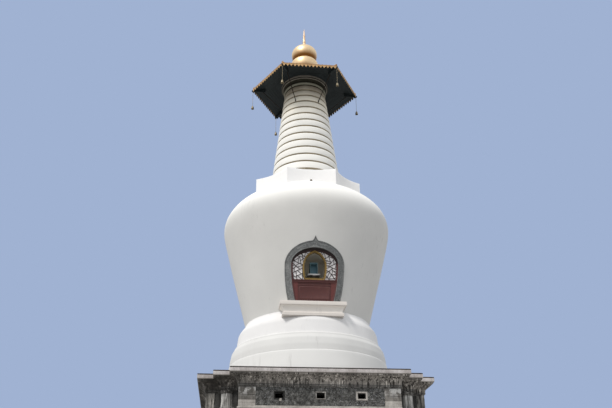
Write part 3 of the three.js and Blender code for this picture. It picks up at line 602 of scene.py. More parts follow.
def painted_timber(name, colour, worn, roughness=0.55):
    """Painted boards with grain that runs upright, faded and scuffed."""
    paint = Paint(name)
    grain = paint.noise(0.035, 4, (1, 1, 0.06), rough=0.65)
    base = paint.ramp(grain, [(0.3, tint(colour, 0.72)), (0.65, colour)])
    base = paint.stain(base, worn, 0.6, paint.spots(0.5, 0.75, 0.4, 5, rough=0.65))
    gloss = paint.span(grain, 0.3, 0.7, roughness - 0.08, roughness + 0.15)
    return paint.finish(base, (grain, 0.003, 0.4), (paint.noise(0.02, 3), 0.002, 0.3), roughness=gloss)


def gilding(name, gold, roughness=0.38, metallic=0.85, tarnish=0.5, shaded_spans=()):
    """Gold leaf or gilded copper with soft tarnish, and browner up each given span of heights, as painted
    shade on the bulbs' undersides.
    """
    paint = Paint(name, metallic=metallic)
    cloud = paint.noise(0.3, 5, rough=0.6)
    base = paint.ramp(cloud, [(0.3, tint(gold, 1 - tarnish * 0.5)), (0.6, gold)])
    base = paint.stain(base, tint(gold, 0.35), tarnish * 0.6, paint.spots(0.62, 0.78, 0.04, 3, rough=0.7))
    # Painted shade: browner towards the bottom of each bulb.
    for z_low, z_high in shaded_spans:
        above = paint.span(paint.z, z_low - 0.02, z_low + 0.02)
        below = paint.span(paint.z, z_low, z_high, 1.2, 0.0)
        base = paint.stain(base, tint(gold, (0.30, 0.16, 0.05)), above, below)
    gloss = paint.span(cloud, 0.3, 0.7, roughness + 0.12, roughness - 0.06)
    return paint.finish(base, (paint.noise(0.06, 3), 0.003, 0.25), roughness=gloss)


def glazed(name, colour):
    """Amber glazed tile: uneven glaze, dusty in places."""
    paint = Paint(name, Coat_Weight=0.35, Coat_Roughness=0.15)
    cloud = paint.noise(0.18, 4, rough=0.6)
    base = paint.ramp(cloud, [(0.3, tint(colour, 0.6)), (0.6, colour)])
    base = paint.stain(base, (0.42, 0.34, 0.25), 0.3, paint.spots(0.45, 0.75, 0.5))
    gloss = paint.span(cloud, 0.3, 0.7, 0.5, 0.24)
    return paint.finish(base, (paint.noise(0.04, 3), 0.003, 0.3), roughness=gloss)


# The dome is painted whiter over its widest level, as painted light on its upward-facing top.
LIME = plaster("limewash", (0.70, 0.69, 0.665), painted_light_above=Z_TOP + 9.0)
LIME_SEAT = plaster("limewash_seat", (0.91, 0.90, 0.89), damp=0.2)
# The neck darkens towards the canopy: soot and dirt, and partly painted shade.
LIME_SHADED = plaster("limewash_neck", (0.88, 0.865, 0.82), soot_and_shade_from=Z_TOP + 17.6, damp=0.2)
# The capital's limewash and its slab are dark: dirt, and painted shade under the canopy.
LIME_CAPITAL = plaster("limewash_capital", (0.30, 0.29, 0.225), damp=0.5)
CAPITAL_SLAB = plaster("limewash_slab", (0.27, 0.245, 0.21), damp=0.5)
LIME_ALTAR = plaster("limewash_altar", (0.84, 0.835, 0.82), damp=0.22)
LIME_RINGS = {
    "base_ring_1": plaster("limewash_ring_1", (0.765, 0.76, 0.745), damp=0.3),
    "base_ring_2": plaster("limewash_ring_2", (0.70, 0.695, 0.68), damp=0.3),
    "base_ring_3": plaster("limewash_ring_3", (0.80, 0.79, 0.785), damp=0.22),
}
LIME_SILL = plaster("limewash_sill", (0.70, 0.655, 0.61), damp=0.5)
# Paler limewash for the sill's hollow neck, as painted light in the slab's shade.
SILL_NECK_PAINTED_LIGHT = plaster("limewash_sill_neck_painted_light", (0.94, 0.89, 0.83), damp=0.3)
# The neck's grooves: dirt, and painted shade under each ring.
GROOVE = grime_and_shade("groove_dirt_and_shade", (0.24, 0.205, 0.145))
# Near-black painted shade for the capital's recesses.
CAPITAL_HOLLOW_SHADE = grime_and_shade("capital_hollow_painted_shade", (0.03, 0.028, 0.02))
# The chamber's walls are painted pale as painted light, so that the shaded chamber in the niche is not black.
CHAMBER_PAINTED_LIGHT = mottled("chamber_painted_light", ((0.90, 0.85, 0.75), (0.97, 0.93, 0.84)), {"size": 0.5}, (0.1, 0.005, 0.4),
               roughness=0.95)
FRAME_STONE = frame_stone("carved_grey_stone")
# Near-black painted shade for the niche frame's reveal.
REVEAL_SHADE = weathered_stone("frame_reveal_painted_shade", (0.06, 0.05, 0.05), (0.025, 0.022, 0.022), 0.3, 0.1)
CORNICE_STONE = weathered_stone("cornice_stone", (0.70, 0.665, 0.655), (0.36, 0.32, 0.30), 0.3, 0.2)
CRUST = weathered_stone("black_crust", (0.075, 0.06, 0.055), (0.03, 0.025, 0.022), 0.4, 0.1)
TERRACE = weathered_stone("terrace_stone", (0.33, 0.305, 0.275), (0.17, 0.155, 0.14), 0.3, 0.3)
COVE_STONE = weathered_stone("cove_stone", (0.40, 0.368, 0.33), (0.085, 0.076, 0.067), 0.5, 0.8,
                             crusted=0.95, veined=0.9)
BEAD_STONE = weathered_stone("bead_stone", (0.22, 0.21, 0.195), (0.06, 0.056, 0.052), 0.5, 0.9,
                             crusted=0.6, veined=0.7)
POST_STONE = weathered_stone("post_stone", (0.31, 0.29, 0.265), (0.085, 0.08, 0.073), 0.5, 0.6,
                             crusted=0.6, patched=0.72)
SHAFT_STONE = weathered_stone("shaft_stone", (0.50, 0.49, 0.465), (0.20, 0.193, 0.183), 0.4, 0.7,
                              crusted=0.2, veined=0.55)
SIDE_STONE = weathered_stone("side_post_stone", (0.36, 0.34, 0.31), (0.09, 0.085, 0.078), 0.5, 0.5,
                             veined=0.8)
# Near-black: painted shade in the recess behind the shafts.
CORE_STONE_SHADED = weathered_stone("core_stone", (0.12, 0.118, 0.113), (0.03, 0.029, 0.027), 0.6, 0.5)
PALE_STONE = weathered_stone("pale_stone", (0.55, 0.52, 0.48), (0.25, 0.23, 0.21), 0.3, 0.4)
BRICK = carved_brick("carved_brick")
SCORCHED = weathered_stone("scorched_brick", (0.035, 0.034, 0.032), (0.012, 0.012, 0.011), 0.3, 0.0)
MAROON = painted_timber("maroon_paint", (0.105, 0.030, 0.027), (0.15, 0.058, 0.048))
DIM_MAROON = painted_timber("dim_maroon_paint", (0.035, 0.014, 0.014), (0.05, 0.025, 0.022))
STILE_RED = painted_timber("stile_paint", (0.15, 0.036, 0.032), (0.19, 0.07, 0.06))
PAPER = mottled("lattice_paper", ((0.90, 0.865, 0.855), (0.97, 0.945, 0.935)), {"size": 0.25},
                (0.03, 0.002, 0.3), (0.3, 0.65), roughness=0.85)
GILT = gilding("gilt_carving", (0.52, 0.35, 0.11), 0.5, 0.35, 0.6)
# The two spans are painted shade on the undersides of the gourd's bulbs.
GOLD = gilding("gilded_copper", (0.90, 0.68, 0.42), 0.42, 0.75, 0.2,
               [(Z_FINIAL, Z_TOP + 21.35), (low("finial_upper_bulb").z, Z_TOP + 22.4)])
SPIKE_GOLD = gilding("gilded_spike", (0.74, 0.53, 0.34), 0.46, 0.72, 0.3)
GILT_SHADE = gilding("gilt_shade", (0.14, 0.095, 0.04), 0.65, 0.2, 0.6)
BOARDS = mottled("soffit_boards", ((0.004, 0.008, 0.009), (0.013, 0.022, 0.024)),
                 {"size": 0.12, "detail": 5, "rough": 0.65}, (0.03, 0.003, 0.4), roughness=0.7)
TILE = glazed("amber_glaze", (0.42, 0.20, 0.05))
DRIP = gilding("gilded_drip", (0.68, 0.43, 0.20), 0.5, 0.35, 0.8)
IRON = old_metal("dark_iron", (0.012, 0.011, 0.010), (0.045, 0.028, 0.018))
BRONZE = old_metal("aged_bronze", (0.20, 0.16, 0.10), (0.34, 0.29, 0.20), 0.45, 0.7)
BLUE_FRAME = painted_timber("dark_blue_paint", (0.15, 0.27, 0.31), (0.19, 0.31, 0.35), 0.5)
BLUE = painted_timber("blue_paint", (0.19, 0.35, 0.42), (0.24, 0.40, 0.46), 0.5)


# Pedestal


def stepped(inset):
    """The pedestal's outline, with five corners to a quarter."""
    front, middle, side = FRONT_HALF - inset, STEP_HALF - inset, CORNICE_HALF - inset
    return quarter_turns([(front, -side), (front, -middle), (middle, -middle), (middle, -front),
                          (side, -front)])


def coursed(inset, joints):
    """The stepped outline with narrow joint grooves cut into its four long stretches."""
    corners = stepped(inset)
    outline = []
    for start, end in zip(corners, corners[1:] + corners[:1]):
        outline.append(start)
        a, b = Vector(start), Vector(end)
        if (b - a).length < 2 * FRONT_HALF - 2.5:
            continue
        along = (b - a).normalized()
        inward = Vector((-along.y, along.x))
        for place in joints:
            for step, depth in ((-1, 0), (-0.3, 1), (0.3, 1), (1, 0)):
                shift = along * (place + step * JOINT_GROOVE) + inward * (depth * JOINT_GROOVE)
                outline.append(tuple((a + b) / 2 + shift))
    return outline


def joint_row(spacing, shift=0.0):
    """Places of the joints along a course, from its middle, none of them quite regular."""
    reach = FRONT_HALF - 0.75
    count = int(reach / spacing) + 1
    places = [shift + spacing * i for i in range(-count, count + 1)]
    return sorted(p + 0.06 * noise.noise(Vector((p * 3.1, spacing * 9, 0))) for p in places if abs(p) < reach)


def course(name, levels, joints, material, slot, stands_for=(), inks=None):
    """A course of worn stones all round the pedestal."""
    def worn(v):
        chip = noise.noise(v * 2.3) * 0.008 + noise.noise(v * 9.0) * 0.003
        return v - Vector((v.x, v.y, 0)).normalized() * max(0.0, chip) * 1.5

    verts, faces = stacked(lambda inset: coursed(inset, joints), levels)
    make(name, [worn(v) for v in verts], faces, material, slot, stands_for=stands_for, crease=28, inks=inks)


def bead_levels():
    """The upper moulding's bead, over its narrow foot, as (inset, z) pairs."""
    foot = [(BEAD_INSET + 0.06, Z_WAIST_TOP), (BEAD_INSET + 0.055, Z_WAIST_TOP + 0.05)]
    return foot + arc(BEAD_INSET + 0.035, Z_WAIST_TOP + 0.1, -0.035, 0.045, -1, 1, 6)


def cove_levels():
    """The upper moulding's hollow, with the fillet over it, as (inset, z) pairs."""
    z0, z1 = Z_WAIST_TOP + BEAD_H, Z_CORNICE - FILLET_H
    hollow = arc(FILLET_INSET, z0, BEAD_INSET + 0.01 - FILLET_INSET, z1 - z0, 0, 1, 10)
    return hollow + [(FILLET_INSET, z1 + 0.004), (FILLET_INSET, Z_CORNICE - 0.001)]


def mirrored(levels):
    """The same levels upside down, for the lower moulding."""
    return [(inset, Z_WAIST + Z_WAIST_TOP - z) for inset, z in reversed(levels)]


def add_foot():
    half = Z_FOOT * 0.5
    foot = [(0.02, 0), (0, 0.02), (0, half - 0.015), (0.014, half), (0, half + 0.015), (0, Z_FOOT - 0.02),
            (0.02, Z_FOOT)]
    course("foot_blocks", foot, joint_row(0.95, 0.2), POST_STONE, "stone", ("pedestal_foot",))


def add_mouldings():
    bead, cove = bead_levels(), cove_levels()
    bead_joints, cove_joints = joint_row(0.9), joint_row(0.62, 0.31)
    seam = 0.002
    course("upper_bead", bead + [(MOULDING_DEPTH, Z_WAIST_TOP + BEAD_H - seam)], bead_joints, BEAD_STONE,
           "brick", ("pedestal_upper_moulding",))
    course("upper_cove", [(MOULDING_DEPTH, Z_WAIST_TOP + BEAD_H)] + cove, cove_joints, COVE_STONE, "brick")
    ledge = [(0, Z_FOOT + seam), (0, Z_FOOT + FASCIA_H - 0.02), (0.02, Z_FOOT + FASCIA_H)]
    course("lower_ledge", ledge, joint_row(1.2, 0.6), PALE_STONE, "stone", ("pedestal_base_moulding",))
    course("lower_cove", mirrored(cove) + [(MOULDING_DEPTH, Z_WAIST - BEAD_H)], cove_joints, PALE_STONE,
           "stone")
    course("lower_bead", [(MOULDING_DEPTH, Z_WAIST - BEAD_H + seam)] + mirrored(bead), bead_joints,
           PALE_STONE, "stone")


def add_cornice():
    """The cornice slab: a pale face, black crust along its top edge, and the terrace behind."""
    crust = Z_TOP - FASCIA_CRUST_H
    slab = [(0.012, Z_CORNICE), (0, Z_CORNICE + 0.035), (0, crust), (0.004, crust + 0.004),
            (0.006, Z_TOP - 0.02), (0.03, Z_TOP - 0.003), (0.55, Z_TOP - 0.001)]
    joints = joint_row(1.25, 0.35)
    count = len(coursed(0, joints))
    inks = [2] * (1 + count) + [0] * count + [1] * (3 * count) + [2] * (count + 1)
    course("cornice_slabs", slab, joints, [CORNICE_STONE, CRUST, TERRACE], "stone", ("pedestal_cornice",),
           inks)


# Waist


def flower_boss(cx, cz, y, half_w, half_h, depth):
    """A carved tile with a small six-petalled boss, its back on the wall's face."""
    def ring(points, out):
        return facing([(cx + half_w * a, cz + half_h * b) for a, b in points], y - depth * out)

    part = Solids()
    tile = ((1.0, 0.0), (1.0, 0.35), (0.86, 0.35), (0.804, 0.1))
    part.tube([ring(rectangle(-share, share, -share, share), out) for share, out in tile])
    boss = []
    for share, out in ((0.78, 0.1), (0.66, 0.75), (0.3, 0.7), (0.22, 1.0)):
        petals = [(a, b) if i % 2 else (a * 0.72, b * 0.72) for i, (a, b) in enumerate(circle(share, 12))]
        boss.append(ring(petals, out))
    part.tube(boss)
    return part


def add_panel_walls():
    """The wall behind the relief, as strips round the small niches."""
    wall = Solids()
    half_w, half_h = POCKET_W / 2, POCKET_H / 2
    deep = PANEL_FACE + POCKET_DEEP
    edges = [-PANEL_HALF] + [x + side for x in POCKETS_X for side in (-half_w, half_w)] + [PANEL_HALF]
    for i, (x0, x1) in enumerate(zip(edges, edges[1:])):
        if i % 2:
            wall.box(x0, x1, PANEL_FACE, deep, Z_WAIST, POCKET_Z - half_h)
            wall.box(x0, x1, PANEL_FACE, deep, POCKET_Z + half_h, Z_WAIST_TOP)
        else:
            wall.box(x0, x1, PANEL_FACE, deep, Z_WAIST, Z_WAIST_TOP)
    wall.box(-WALL_HALF, WALL_HALF, deep, deep + 0.05, Z_WAIST, Z_WAIST_TOP)
    walls = Solids()
    walls.put_round(wall)
    names = [f"waist_wall_{side}" for side in ("front", "right", "back", "left")]
    walls.make("panel_walls", BRICK, "brick", stands_for=names, crease=30)


def add_panel_relief():
    """Carved tiles over each panel, left out where the niches' surrounds sit."""
    pitch_x, pitch_z = 2 * PANEL_HALF / PANEL_COLUMNS, (Z_WAIST_TOP - Z_WAIST) / PANEL_ROWS
    bare = list(zip(POCKETS_X, (0.22, 0.27, 0.27), (0.15, 0.2, 0.2)))
    tiles = Solids()
    for i in range(PANEL_COLUMNS):
        for j in range(PANEL_ROWS):
            cx, cz = -PANEL_HALF + pitch_x * (i + 0.5), Z_WAIST + pitch_z * (j + 0.5)
            if any(abs(cx - x) < w + pitch_x * 0.3 and abs(cz - POCKET_Z) < h + pitch_z * 0.3
                   for x, w, h in bare):
                continue
            tiles.put_round(flower_boss(cx, cz, PANEL_FACE, pitch_x * 0.47, pitch_z * 0.47, 0.034))
    tiles.make("panel_relief", BRICK, "brick", crease=30)


def broken_edge(x, half_w, half_h, wobble, out):
    """Points round a small niche's mouth, on a rectangle whose edge wanders as broken brick does."""
    per_side = 6
    corners = rectangle(-1, 1, -1, 1)
    points = []
    for start, end in zip(corners, corners[1:] + corners[:1]):
        for k in range(per_side):
            a, b = (p + (q - p) * k / per_side for p, q in zip(start, end))
            spread = 1 + wobble * noise.noise(Vector((a * 2.3, 3.7, b * 2.3)))
            points.append((x + half_w * a * spread, PANEL_FACE - out, POCKET_Z + half_h * b * spread))
    return points


def broken_surround(x):
    """What is left of a surround that fell away: a shard of its stone, and a ragged dark edge."""
    half_w, half_h = POCKET_W / 2, POCKET_H / 2
    part = Solids()
    shard = [(x + a, POCKET_Z - half_h + b) for a, b in
             ((-0.01, -0.13), (0.09, -0.15), (0.12, -0.03), (0.05, -0.004), (0.0, -0.05))]
    part.tube([facing(shard, PANEL_FACE - out) for out in (0.0, 0.04)])
    rings = ((0.25, 0.19, 0.21, 0.0), (0.25, 0.19, 0.21, 0.022), (half_w, half_h, 0.0, 0.012),
             (half_w, half_h, 0.0, -0.12), (half_w + 0.02, half_h + 0.02, 0.0, -0.12))
    part.tube([broken_edge(x, *ring) for ring in rings], 2, closed=True)
    return part


def stone_surround(x, outer_w, outer_h):
    """A chamfered stone frame round a small niche's mouth."""
    half_w, half_h = POCKET_W / 2, POCKET_H / 2
    rings = ((outer_w, outer_h, 0.0), (outer_w, outer_h, 0.03), (outer_w - 0.012, outer_h - 0.012, 0.04),
             (half_w + 0.012, half_h + 0.012, 0.04), (half_w, half_h, 0.028), (half_w, half_h, -0.12),
             (half_w + 0.02, half_h + 0.02, -0.12))
    part = Solids()
    part.tube([facing(rectangle(x - w, x + w, POCKET_Z - h, POCKET_Z + h), PANEL_FACE - out)
               for w, h, out in rings], closed=True)
    return part


def add_niche_surrounds():
    """Surrounds of the small niches; the first on each side has lost its stone."""
    surrounds = Solids()
    surrounds.put_round(broken_surround(POCKETS_X[0]))
    surrounds.put_round(stone_surround(POCKETS_X[1], 0.235, 0.175), 1)
    surrounds.put_round(stone_surround(POCKETS_X[2], 0.265, 0.20))
    surrounds.make("niche_surrounds", [PALE_STONE, POST_STONE, SCORCHED], "stone", crease=30)


def carved_plate(x0, x1):
    """The face of a post's cap stone: a sunk plate with three bosses."""
    z0, z1 = Z_WAIST_TOP - 0.33, Z_WAIST_TOP - 0.03
    part = Solids()
    part.tube([facing(rectangle(x0, x1, z0, z1, inset), -WALL_OUT - out)
               for inset, out in ((0.0, 0.0), (0.0, 0.014), (0.025, 0.014), (0.04, 0.004))])
    for k in (-1, 0, 1):
        part.put(flower_boss((x0 + x1) / 2 + 0.2 * k, (z0 + z1) / 2, -WALL_OUT - 0.004, 0.075, 0.09, 0.022))
    return part


def add_posts():
    """Posts beside the panels: a carved cap stone, a plain shaft and three low courses."""
    z0, z1 = Z_WAIST, Z_WAIST_TOP
    stones = [(z0, z0 + 0.12, 1), (z0 + 0.125, z0 + 0.25, 1), (z0 + 0.255, z0 + 0.47, 0),
              (z0 + 0.475, z1 - 0.002, 0)]
    posts = Solids()
    for x0, x1 in ((-WALL_HALF, -PANEL_HALF), (PANEL_HALF, WALL_HALF)):
        for low_z, high_z, ink in stones:
            part = Solids()
            part.box(x0 + 0.002, x1 - 0.002, -WALL_OUT, POST_DEEP - WALL_OUT, low_z, high_z, edge=0.008)
            posts.put_round(part, ink, sides=(0, 2))
            posts.put_round(part, 2, sides=(1, 3))
        posts.put_round(carved_plate(x0 + 0.06, x1 - 0.06))
    posts.make("corner_posts", [POST_STONE, PALE_STONE, SIDE_STONE], "stone", crease=30)


def add_waist_core():
    """The stepped core between the posts, set back behind the shafts, in near-black stone as painted shade in
    the recess.
    """
    middle = STEP_HALF - WAIST_INSET - CORE_SINK
    back = WALL_OUT - POST_DEEP
    outline = quarter_turns([(WALL_HALF, -back), (WALL_HALF, -middle), (middle, -middle),
                             (middle, -WALL_HALF), (back, -WALL_HALF)])

    def narrowed(inset):
        return [(x - math.copysign(inset, x), y - math.copysign(inset, y)) for x, y in outline]

    levels = [(0, Z_WAIST)]
    for joint in (0.275, 0.545):
        levels += [(inset, Z_WAIST + joint + rise) for inset, rise in ((0, -0.005), (0.008, 0), (0, 0.005))]
    core = Solids()
    core.add(*stacked(narrowed, levels + [(0, Z_WAIST_TOP)]))
    core.make("waist_core_stone", CORE_STONE_SHADED, "stone", stands_for=["waist_core"], crease=30)


def add_shafts():
    """Fluted round shafts at the core's middle corners, each with a moulded foot and a dark capital."""
    z0, z1 = Z_WAIST, Z_WAIST_TOP
    at = STEP_HALF - WAIST_INSET - SHAFT_R + SHAFT_PROUD
    shaft = ((z0, 0.335, 0), (z0 + 0.07, 0.335, 0), (z0 + 0.085, SHAFT_R, 0), (z0 + 0.10, 0.288, 0.018),
             (z1 - 0.15, 0.282, 0.018))
    capital = ((z1 - 0.135, 0.282, 0), (z1 - 0.12, 0.31, 0), (z1 - 0.09, 0.322, 0), (z1 - 0.06, 0.322, 0),
               (z1 - 0.04, 0.34, 0), (z1, 0.345, 0))
    count = 4 * SHAFT_FLUTES
    rings = []
    for z, r, flute in shaft + capital:
        radii = [r - flute * (1, 0.55, 0, 0.55)[i % 4] for i in range(count)]
        rings.append([(at + a * radius, -at + b * radius, z)
                      for radius, (a, b) in zip(radii, circle(1, count))])
    part = Solids()
    part.tube(rings, [0] * (4 * count) + [1] * (6 * count) + [0, 1])
    shafts = Solids()
    shafts.put_round(part)
    shafts.make("fluted_shafts", [SHAFT_STONE, BEAD_STONE], "stone", crease=40)


# Base rings, dome and sill


def add_base_rings():
    for name, wall in RING_WALLS.items():
        z, top = low(name).z, high(name).z
        fine = []
        for (r0, h0), (r1, h1) in zip(wall, wall[1:]):
            steps = max(1, round(math.hypot(r1 - r0, h1 - h0) / 0.12))
            fine += [(r0 + (r1 - r0) * i / steps, z + h0 + (h1 - h0) * i / steps) for i in range(steps)]
        r_last, h_last = wall[-1]
        fine.append((r_last, z + h_last))
        profile = [(0, z)] + rounded(fine, 0.03, 2) + [(r_last - 0.4, top), (0, top)]
        make(name + "_plaster", *lathe(profile, shape=by_hand(0.009)), LIME_RINGS[name], "lime",
             stands_for=(name,), crease=50)


def dome_radius(z, offset=0.0):
    """The dome's radius at a height: a flaring side under a rounded shoulder."""
    if z < Z_WIDEST:
        return WIDEST_R + offset - FLARE_SLOPE * (math.hypot(Z_WIDEST - z, FLARE_TURN) - FLARE_TURN)
    rise = min(1.0, (z - Z_WIDEST) / (SHOULDER_RISE + offset))
    return (WIDEST_R + offset) * (1 - rise ** SHOULDER_POWER) ** (1 / SHOULDER_POWER)


def horseshoe(spec, grow=0.0, tip=0.0, sides=14, turns=40):
    """Points of the niche's outline from its right foot over the top to its left foot, as (x, z)."""
    a, drop = spec["half"] + grow, spec["drop"] + grow
    points = []
    for i in range(sides):
        z = Z_SILL + (Z_SPRING - Z_SILL) * i / sides
        points.append((a * math.sqrt(1 - ((Z_SPRING - z) / drop) ** 2), z))
    for i in range(turns + 1):
        angle = math.pi * i / turns
        x = a * math.cos(angle)
        near = max(0.0, 1 - abs(x) / FRAME_TIP_HALF)
        points.append((x, Z_SPRING + (spec["rise"] + grow) * math.sin(angle) + tip * near ** 1.5))
    return points + [(-x, z) for x, z in reversed(points[:sides])]


def cutter_prism(points, y0, y1, angle=0.0):
    """A prism of (x, z) points from y0 to y1, turned about Z, for cut() to take away."""
    prism = Solids()
    prism.tube([facing(points, y) for y in (y0, y1)])
    turned = Solids()
    turned.put(prism, angle)
    mesh = bpy.data.meshes.new("cutter")
    mesh.from_pydata([tuple(v) for v in turned.verts], [], turned.faces)
    made = bmesh.new()
    made.from_mesh(mesh)
    bmesh.ops.recalc_face_normals(made, faces=made.faces)
    made.to_mesh(mesh)
    made.free()
    cutter = bpy.data.objects.new("cutter", mesh)
    scene.collection.objects.link(cutter)
    return cutter


def cut(piece, cutter):
    """Subtracts the cutter from the piece for good, and removes the cutter."""
    modifier = piece.modifiers.new("cut", "BOOLEAN")
    modifier.operation = "DIFFERENCE"
    modifier.solver = "EXACT"
    modifier.object = cutter
    bpy.context.view_layer.update()
    cut_mesh = bpy.data.meshes.new_from_object(piece.evaluated_get(bpy.context.evaluated_depsgraph_get()))
    piece.modifiers.clear()
    piece.data = cut_mesh
    bpy.data.objects.remove(cutter)


def add_dome():
    levels = 84
    profile = [(0, Z_DOME)]
    for i in range(levels + 1):
        z = Z_DOME + (Z_CROWN - Z_DOME) * (1 - (1 - i / levels) ** 1.35)
        profile.append((dome_radius(z), z))
    profile.append((0, Z_CROWN))
    dome = make("dome_plaster", *lathe(profile, shape=by_hand(0.016, 1.6)), [LIME, CHAMBER_PAINTED_LIGHT], "lime",
                stands_for=("dome_left_wall", "dome_right_wall", "dome_crown"), crease=50)
    cut(dome, cutter_prism(horseshoe(FRAME_INNER, 0.004), -6.0, CHAMBER_BACK))
    # Faces inside the niche's chamber take the pale chamber finish: painted light.
    for polygon in dome.data.polygons:
        c = polygon.center
        inside = math.hypot(c.x, c.y) < dome_radius(c.z) - 0.05 and abs(c.x) < 1.3 and c.y < -1.5
        polygon.material_index = 1 if inside and c.z > Z_DOME + 0.1 else 0
    dome.data.set_sharp_from_angle(angle=math.radians(50))


def add_sill():
    """The table under the niche: a moulded slab on a hollow neck."""
    z1 = high("niche_sill").z
    z2, z3, z4 = z1 - 0.21, z1 - 0.565, z1 - 0.725
    corners = 5

    def table(inset):
        x0, x1, front = SILL_X - SILL_HALF + inset, SILL_X + SILL_HALF - inset, SILL_FRONT + inset
        return [(x0, front), (SILL_X, front), (x1, front), (x1, SILL_BACK), (x0, SILL_BACK)]

    foot = [(0.14, z4), (0.13, z4 + 0.01), (0.13, z3 - 0.02), (0.145, z3), (0.2, z3 + 0.003)]
    neck = arc(0.045, z3 + 0.06, 0.155, z2 - z3 - 0.075, 0, 1, 8)
    slab = [(0.045, z2 - 0.002), (0.012, z2), (0.0, z2 + 0.012), (0.0, z1 - 0.02), (0.006, z1 - 0.006),
            (0.02, z1)]
    verts, faces = stacked(table, foot + neck + slab)
    # The hollow neck under the slab takes the paler limewash: painted light.
    inks = [0] * (1 + 4 * corners) + [1] * (10 * corners) + [0] * (5 * corners + 1)
    make("sill_table", verts, faces, [LIME_SILL, SILL_NECK_PAINTED_LIGHT], "lime", stands_for=("niche_sill",),
         crease=30, inks=inks)


# Niche frame and screen


def on_dome(x, z, out):
    """The point on the dome's face at x and z, moved out from it."""
    return Vector((x, -math.sqrt(dome_radius(z, out) ** 2 - x * x), z))


def resampled(points, count):
    """The same open line of (x, z) with its points evenly spaced."""
    steps = [0.0]
    for a, b in zip(points, points[1:]):
        steps.append(steps[-1] + math.dist(a, b))
    out, j = [], 0
    for i in range(count + 1):
        at = steps[-1] * i / count
        while j < len(steps) - 2 and steps[j + 1] < at:
            j += 1
        t = (at - steps[j]) / max(steps[j + 1] - steps[j], 1e-9)
        out.append(tuple(p + (q - p) * t for p, q in zip(points[j], points[j + 1])))
    return out


def scroll_relief(u, s):
    """Height, 0 to 1, of a running vine with curled leaves: u crosses the band, s runs along it."""
    wave = 0.5 + 0.2 * math.sin(TAU * s)
    stem = math.exp(-((u - wave) / 0.075) ** 2)
    turn = math.floor(2 * s) / 2 + 0.25
    centre = 0.5 - 0.2 * math.sin(TAU * turn)
    reach = math.hypot(u - centre, (s - turn) * 1.5)
    return max(stem, math.exp(-((reach - 0.17) / 0.05) ** 2), math.exp(-(reach / 0.06) ** 2))


def add_niche_frame():
    """The carved horseshoe on the dome's face: a raised edge, a field with a vine, and a raised rim."""
    stations = 110
    inner = resampled(horseshoe(FRAME_INNER, sides=30, turns=120), stations)
    outer = resampled(horseshoe(FRAME_OUTER, tip=FRAME_TIP_H, sides=30, turns=240), stations)
    edge = [(0.0, -0.42), (0.0, 0.025), (0.03, 0.05), (0.07, 0.056), (0.11, 0.045), (0.14, 0.022)]
    field_from, field_w, field_steps = 0.16, 0.66, 22
    rim = [(0.84, 0.022), (0.88, 0.046), (0.93, 0.058), (0.97, 0.052), (1.0, 0.03), (1.0, -0.1)]
    rings = []
    for k, (a, b) in enumerate(zip(inner, outer)):
        field = []
        for i in range(field_steps + 1):
            share = i / field_steps
            field.append((field_from + field_w * share, 0.018 + 0.022 * scroll_relief(share, k * 0.052)))
        rings.append([on_dome(a[0] + (b[0] - a[0]) * share, a[1] + (b[1] - a[1]) * share, out)
                      for share, out in edge + field + rim])
    part = Solids()
    # The reveal round the opening is painted near-black, as painted shade.
    bands = [1] + [0] * (len(rings[0]) - 1)
    part.tube(rings, bands * (len(rings) - 1) + [0, 0])
    part.make("carved_niche_frame", [FRAME_STONE, REVEAL_SHADE], "grey_stone", stands_for=("niche_frame",),
              crease=60)


def on_screen(x, z, deep):
    """A point on the leaning screen, so far behind its front face."""
    return Vector((x, SCREEN_Y - math.tan(SCREEN_LEAN) * (z - Z_SILL) + deep / math.cos(SCREEN_LEAN), z))


def board_end(x0, x1, z, deep0, deep1):
    """The four corners of a board's level section on the screen."""
    return [on_screen(x, z, deep) for x, deep in rectangle(x0, x1, deep0, deep1)]


def swept(path, section, closed=False):
    """Sweeps a section of (sideways, deep) pairs along a line of (x, z) points on the screen."""
    count = len(path)
    rings = []
    for i, (x, z) in enumerate(path):
        before = path[(i - 1) % count] if closed or i else path[0]
        after = path[(i + 1) % count] if closed or i < count - 1 else path[-1]
        along = Vector((after[0] - before[0], after[1] - before[1])).normalized()
        rings.append([on_screen(x - along.y * w, z + along.x * w, deep) for w, deep in section])
    return rings


def half_at(z, grow):
    """Half the width of the niche's opening at a height."""
    a, drop, rise = FRAME_INNER["half"] + grow, FRAME_INNER["drop"] + grow, FRAME_INNER["rise"] + grow
    reach = (Z_SPRING - z) / drop if z < Z_SPRING else (z - Z_SPRING) / rise
    return a * math.sqrt(max(0.0, 1 - reach * reach))


def rail(solids, z0, z1, deep0, deep1, grow, steps=1):
    """A flat board across the opening, cut to the opening's sides."""
    heights = [z0 + (z1 - z0) * k / steps for k in range(steps + 1)]
    solids.tube([board_end(-half_at(z, grow), half_at(z, grow), z, deep0, deep1) for z in heights])


def arch_line(grow, steps=14):
    """The arch's outline as (x, z), from its right foot over the top to its left foot."""
    half, foot = ARCH_HALF + grow, ARCH_FOOT_HALF + grow
    z_foot = Z_RAIL + ARCH_W - grow
    bulge = (half, ARCH_BULGE_Z)
    shoulder = (half * 0.45, ARCH_PEAK_Z - 0.19 + grow * 0.8)
    peak = (0, ARCH_PEAK_Z - ARCH_W + grow * 1.2)
    points = curve((foot, z_foot), (half, z_foot + 0.3), bulge, steps)
    points += curve(bulge, (half, ARCH_BULGE_Z + 0.38), shoulder, steps)
    points += curve(shoulder, (half * 0.12, ARCH_PEAK_Z - 0.11 + grow), peak, steps)
    return points + [peak] + [(-x, z) for x, z in reversed(points)]


def inside_arch(x, z, grow):
    line = arch_line(grow, 6)
    inside = False
    for (x0, z0), (x1, z1) in zip(line, line[1:] + line[:1]):
        if (z0 > z) != (z1 > z) and x < x0 + (z - z0) / (z1 - z0) * (x1 - x0):
            inside = not inside
    return inside


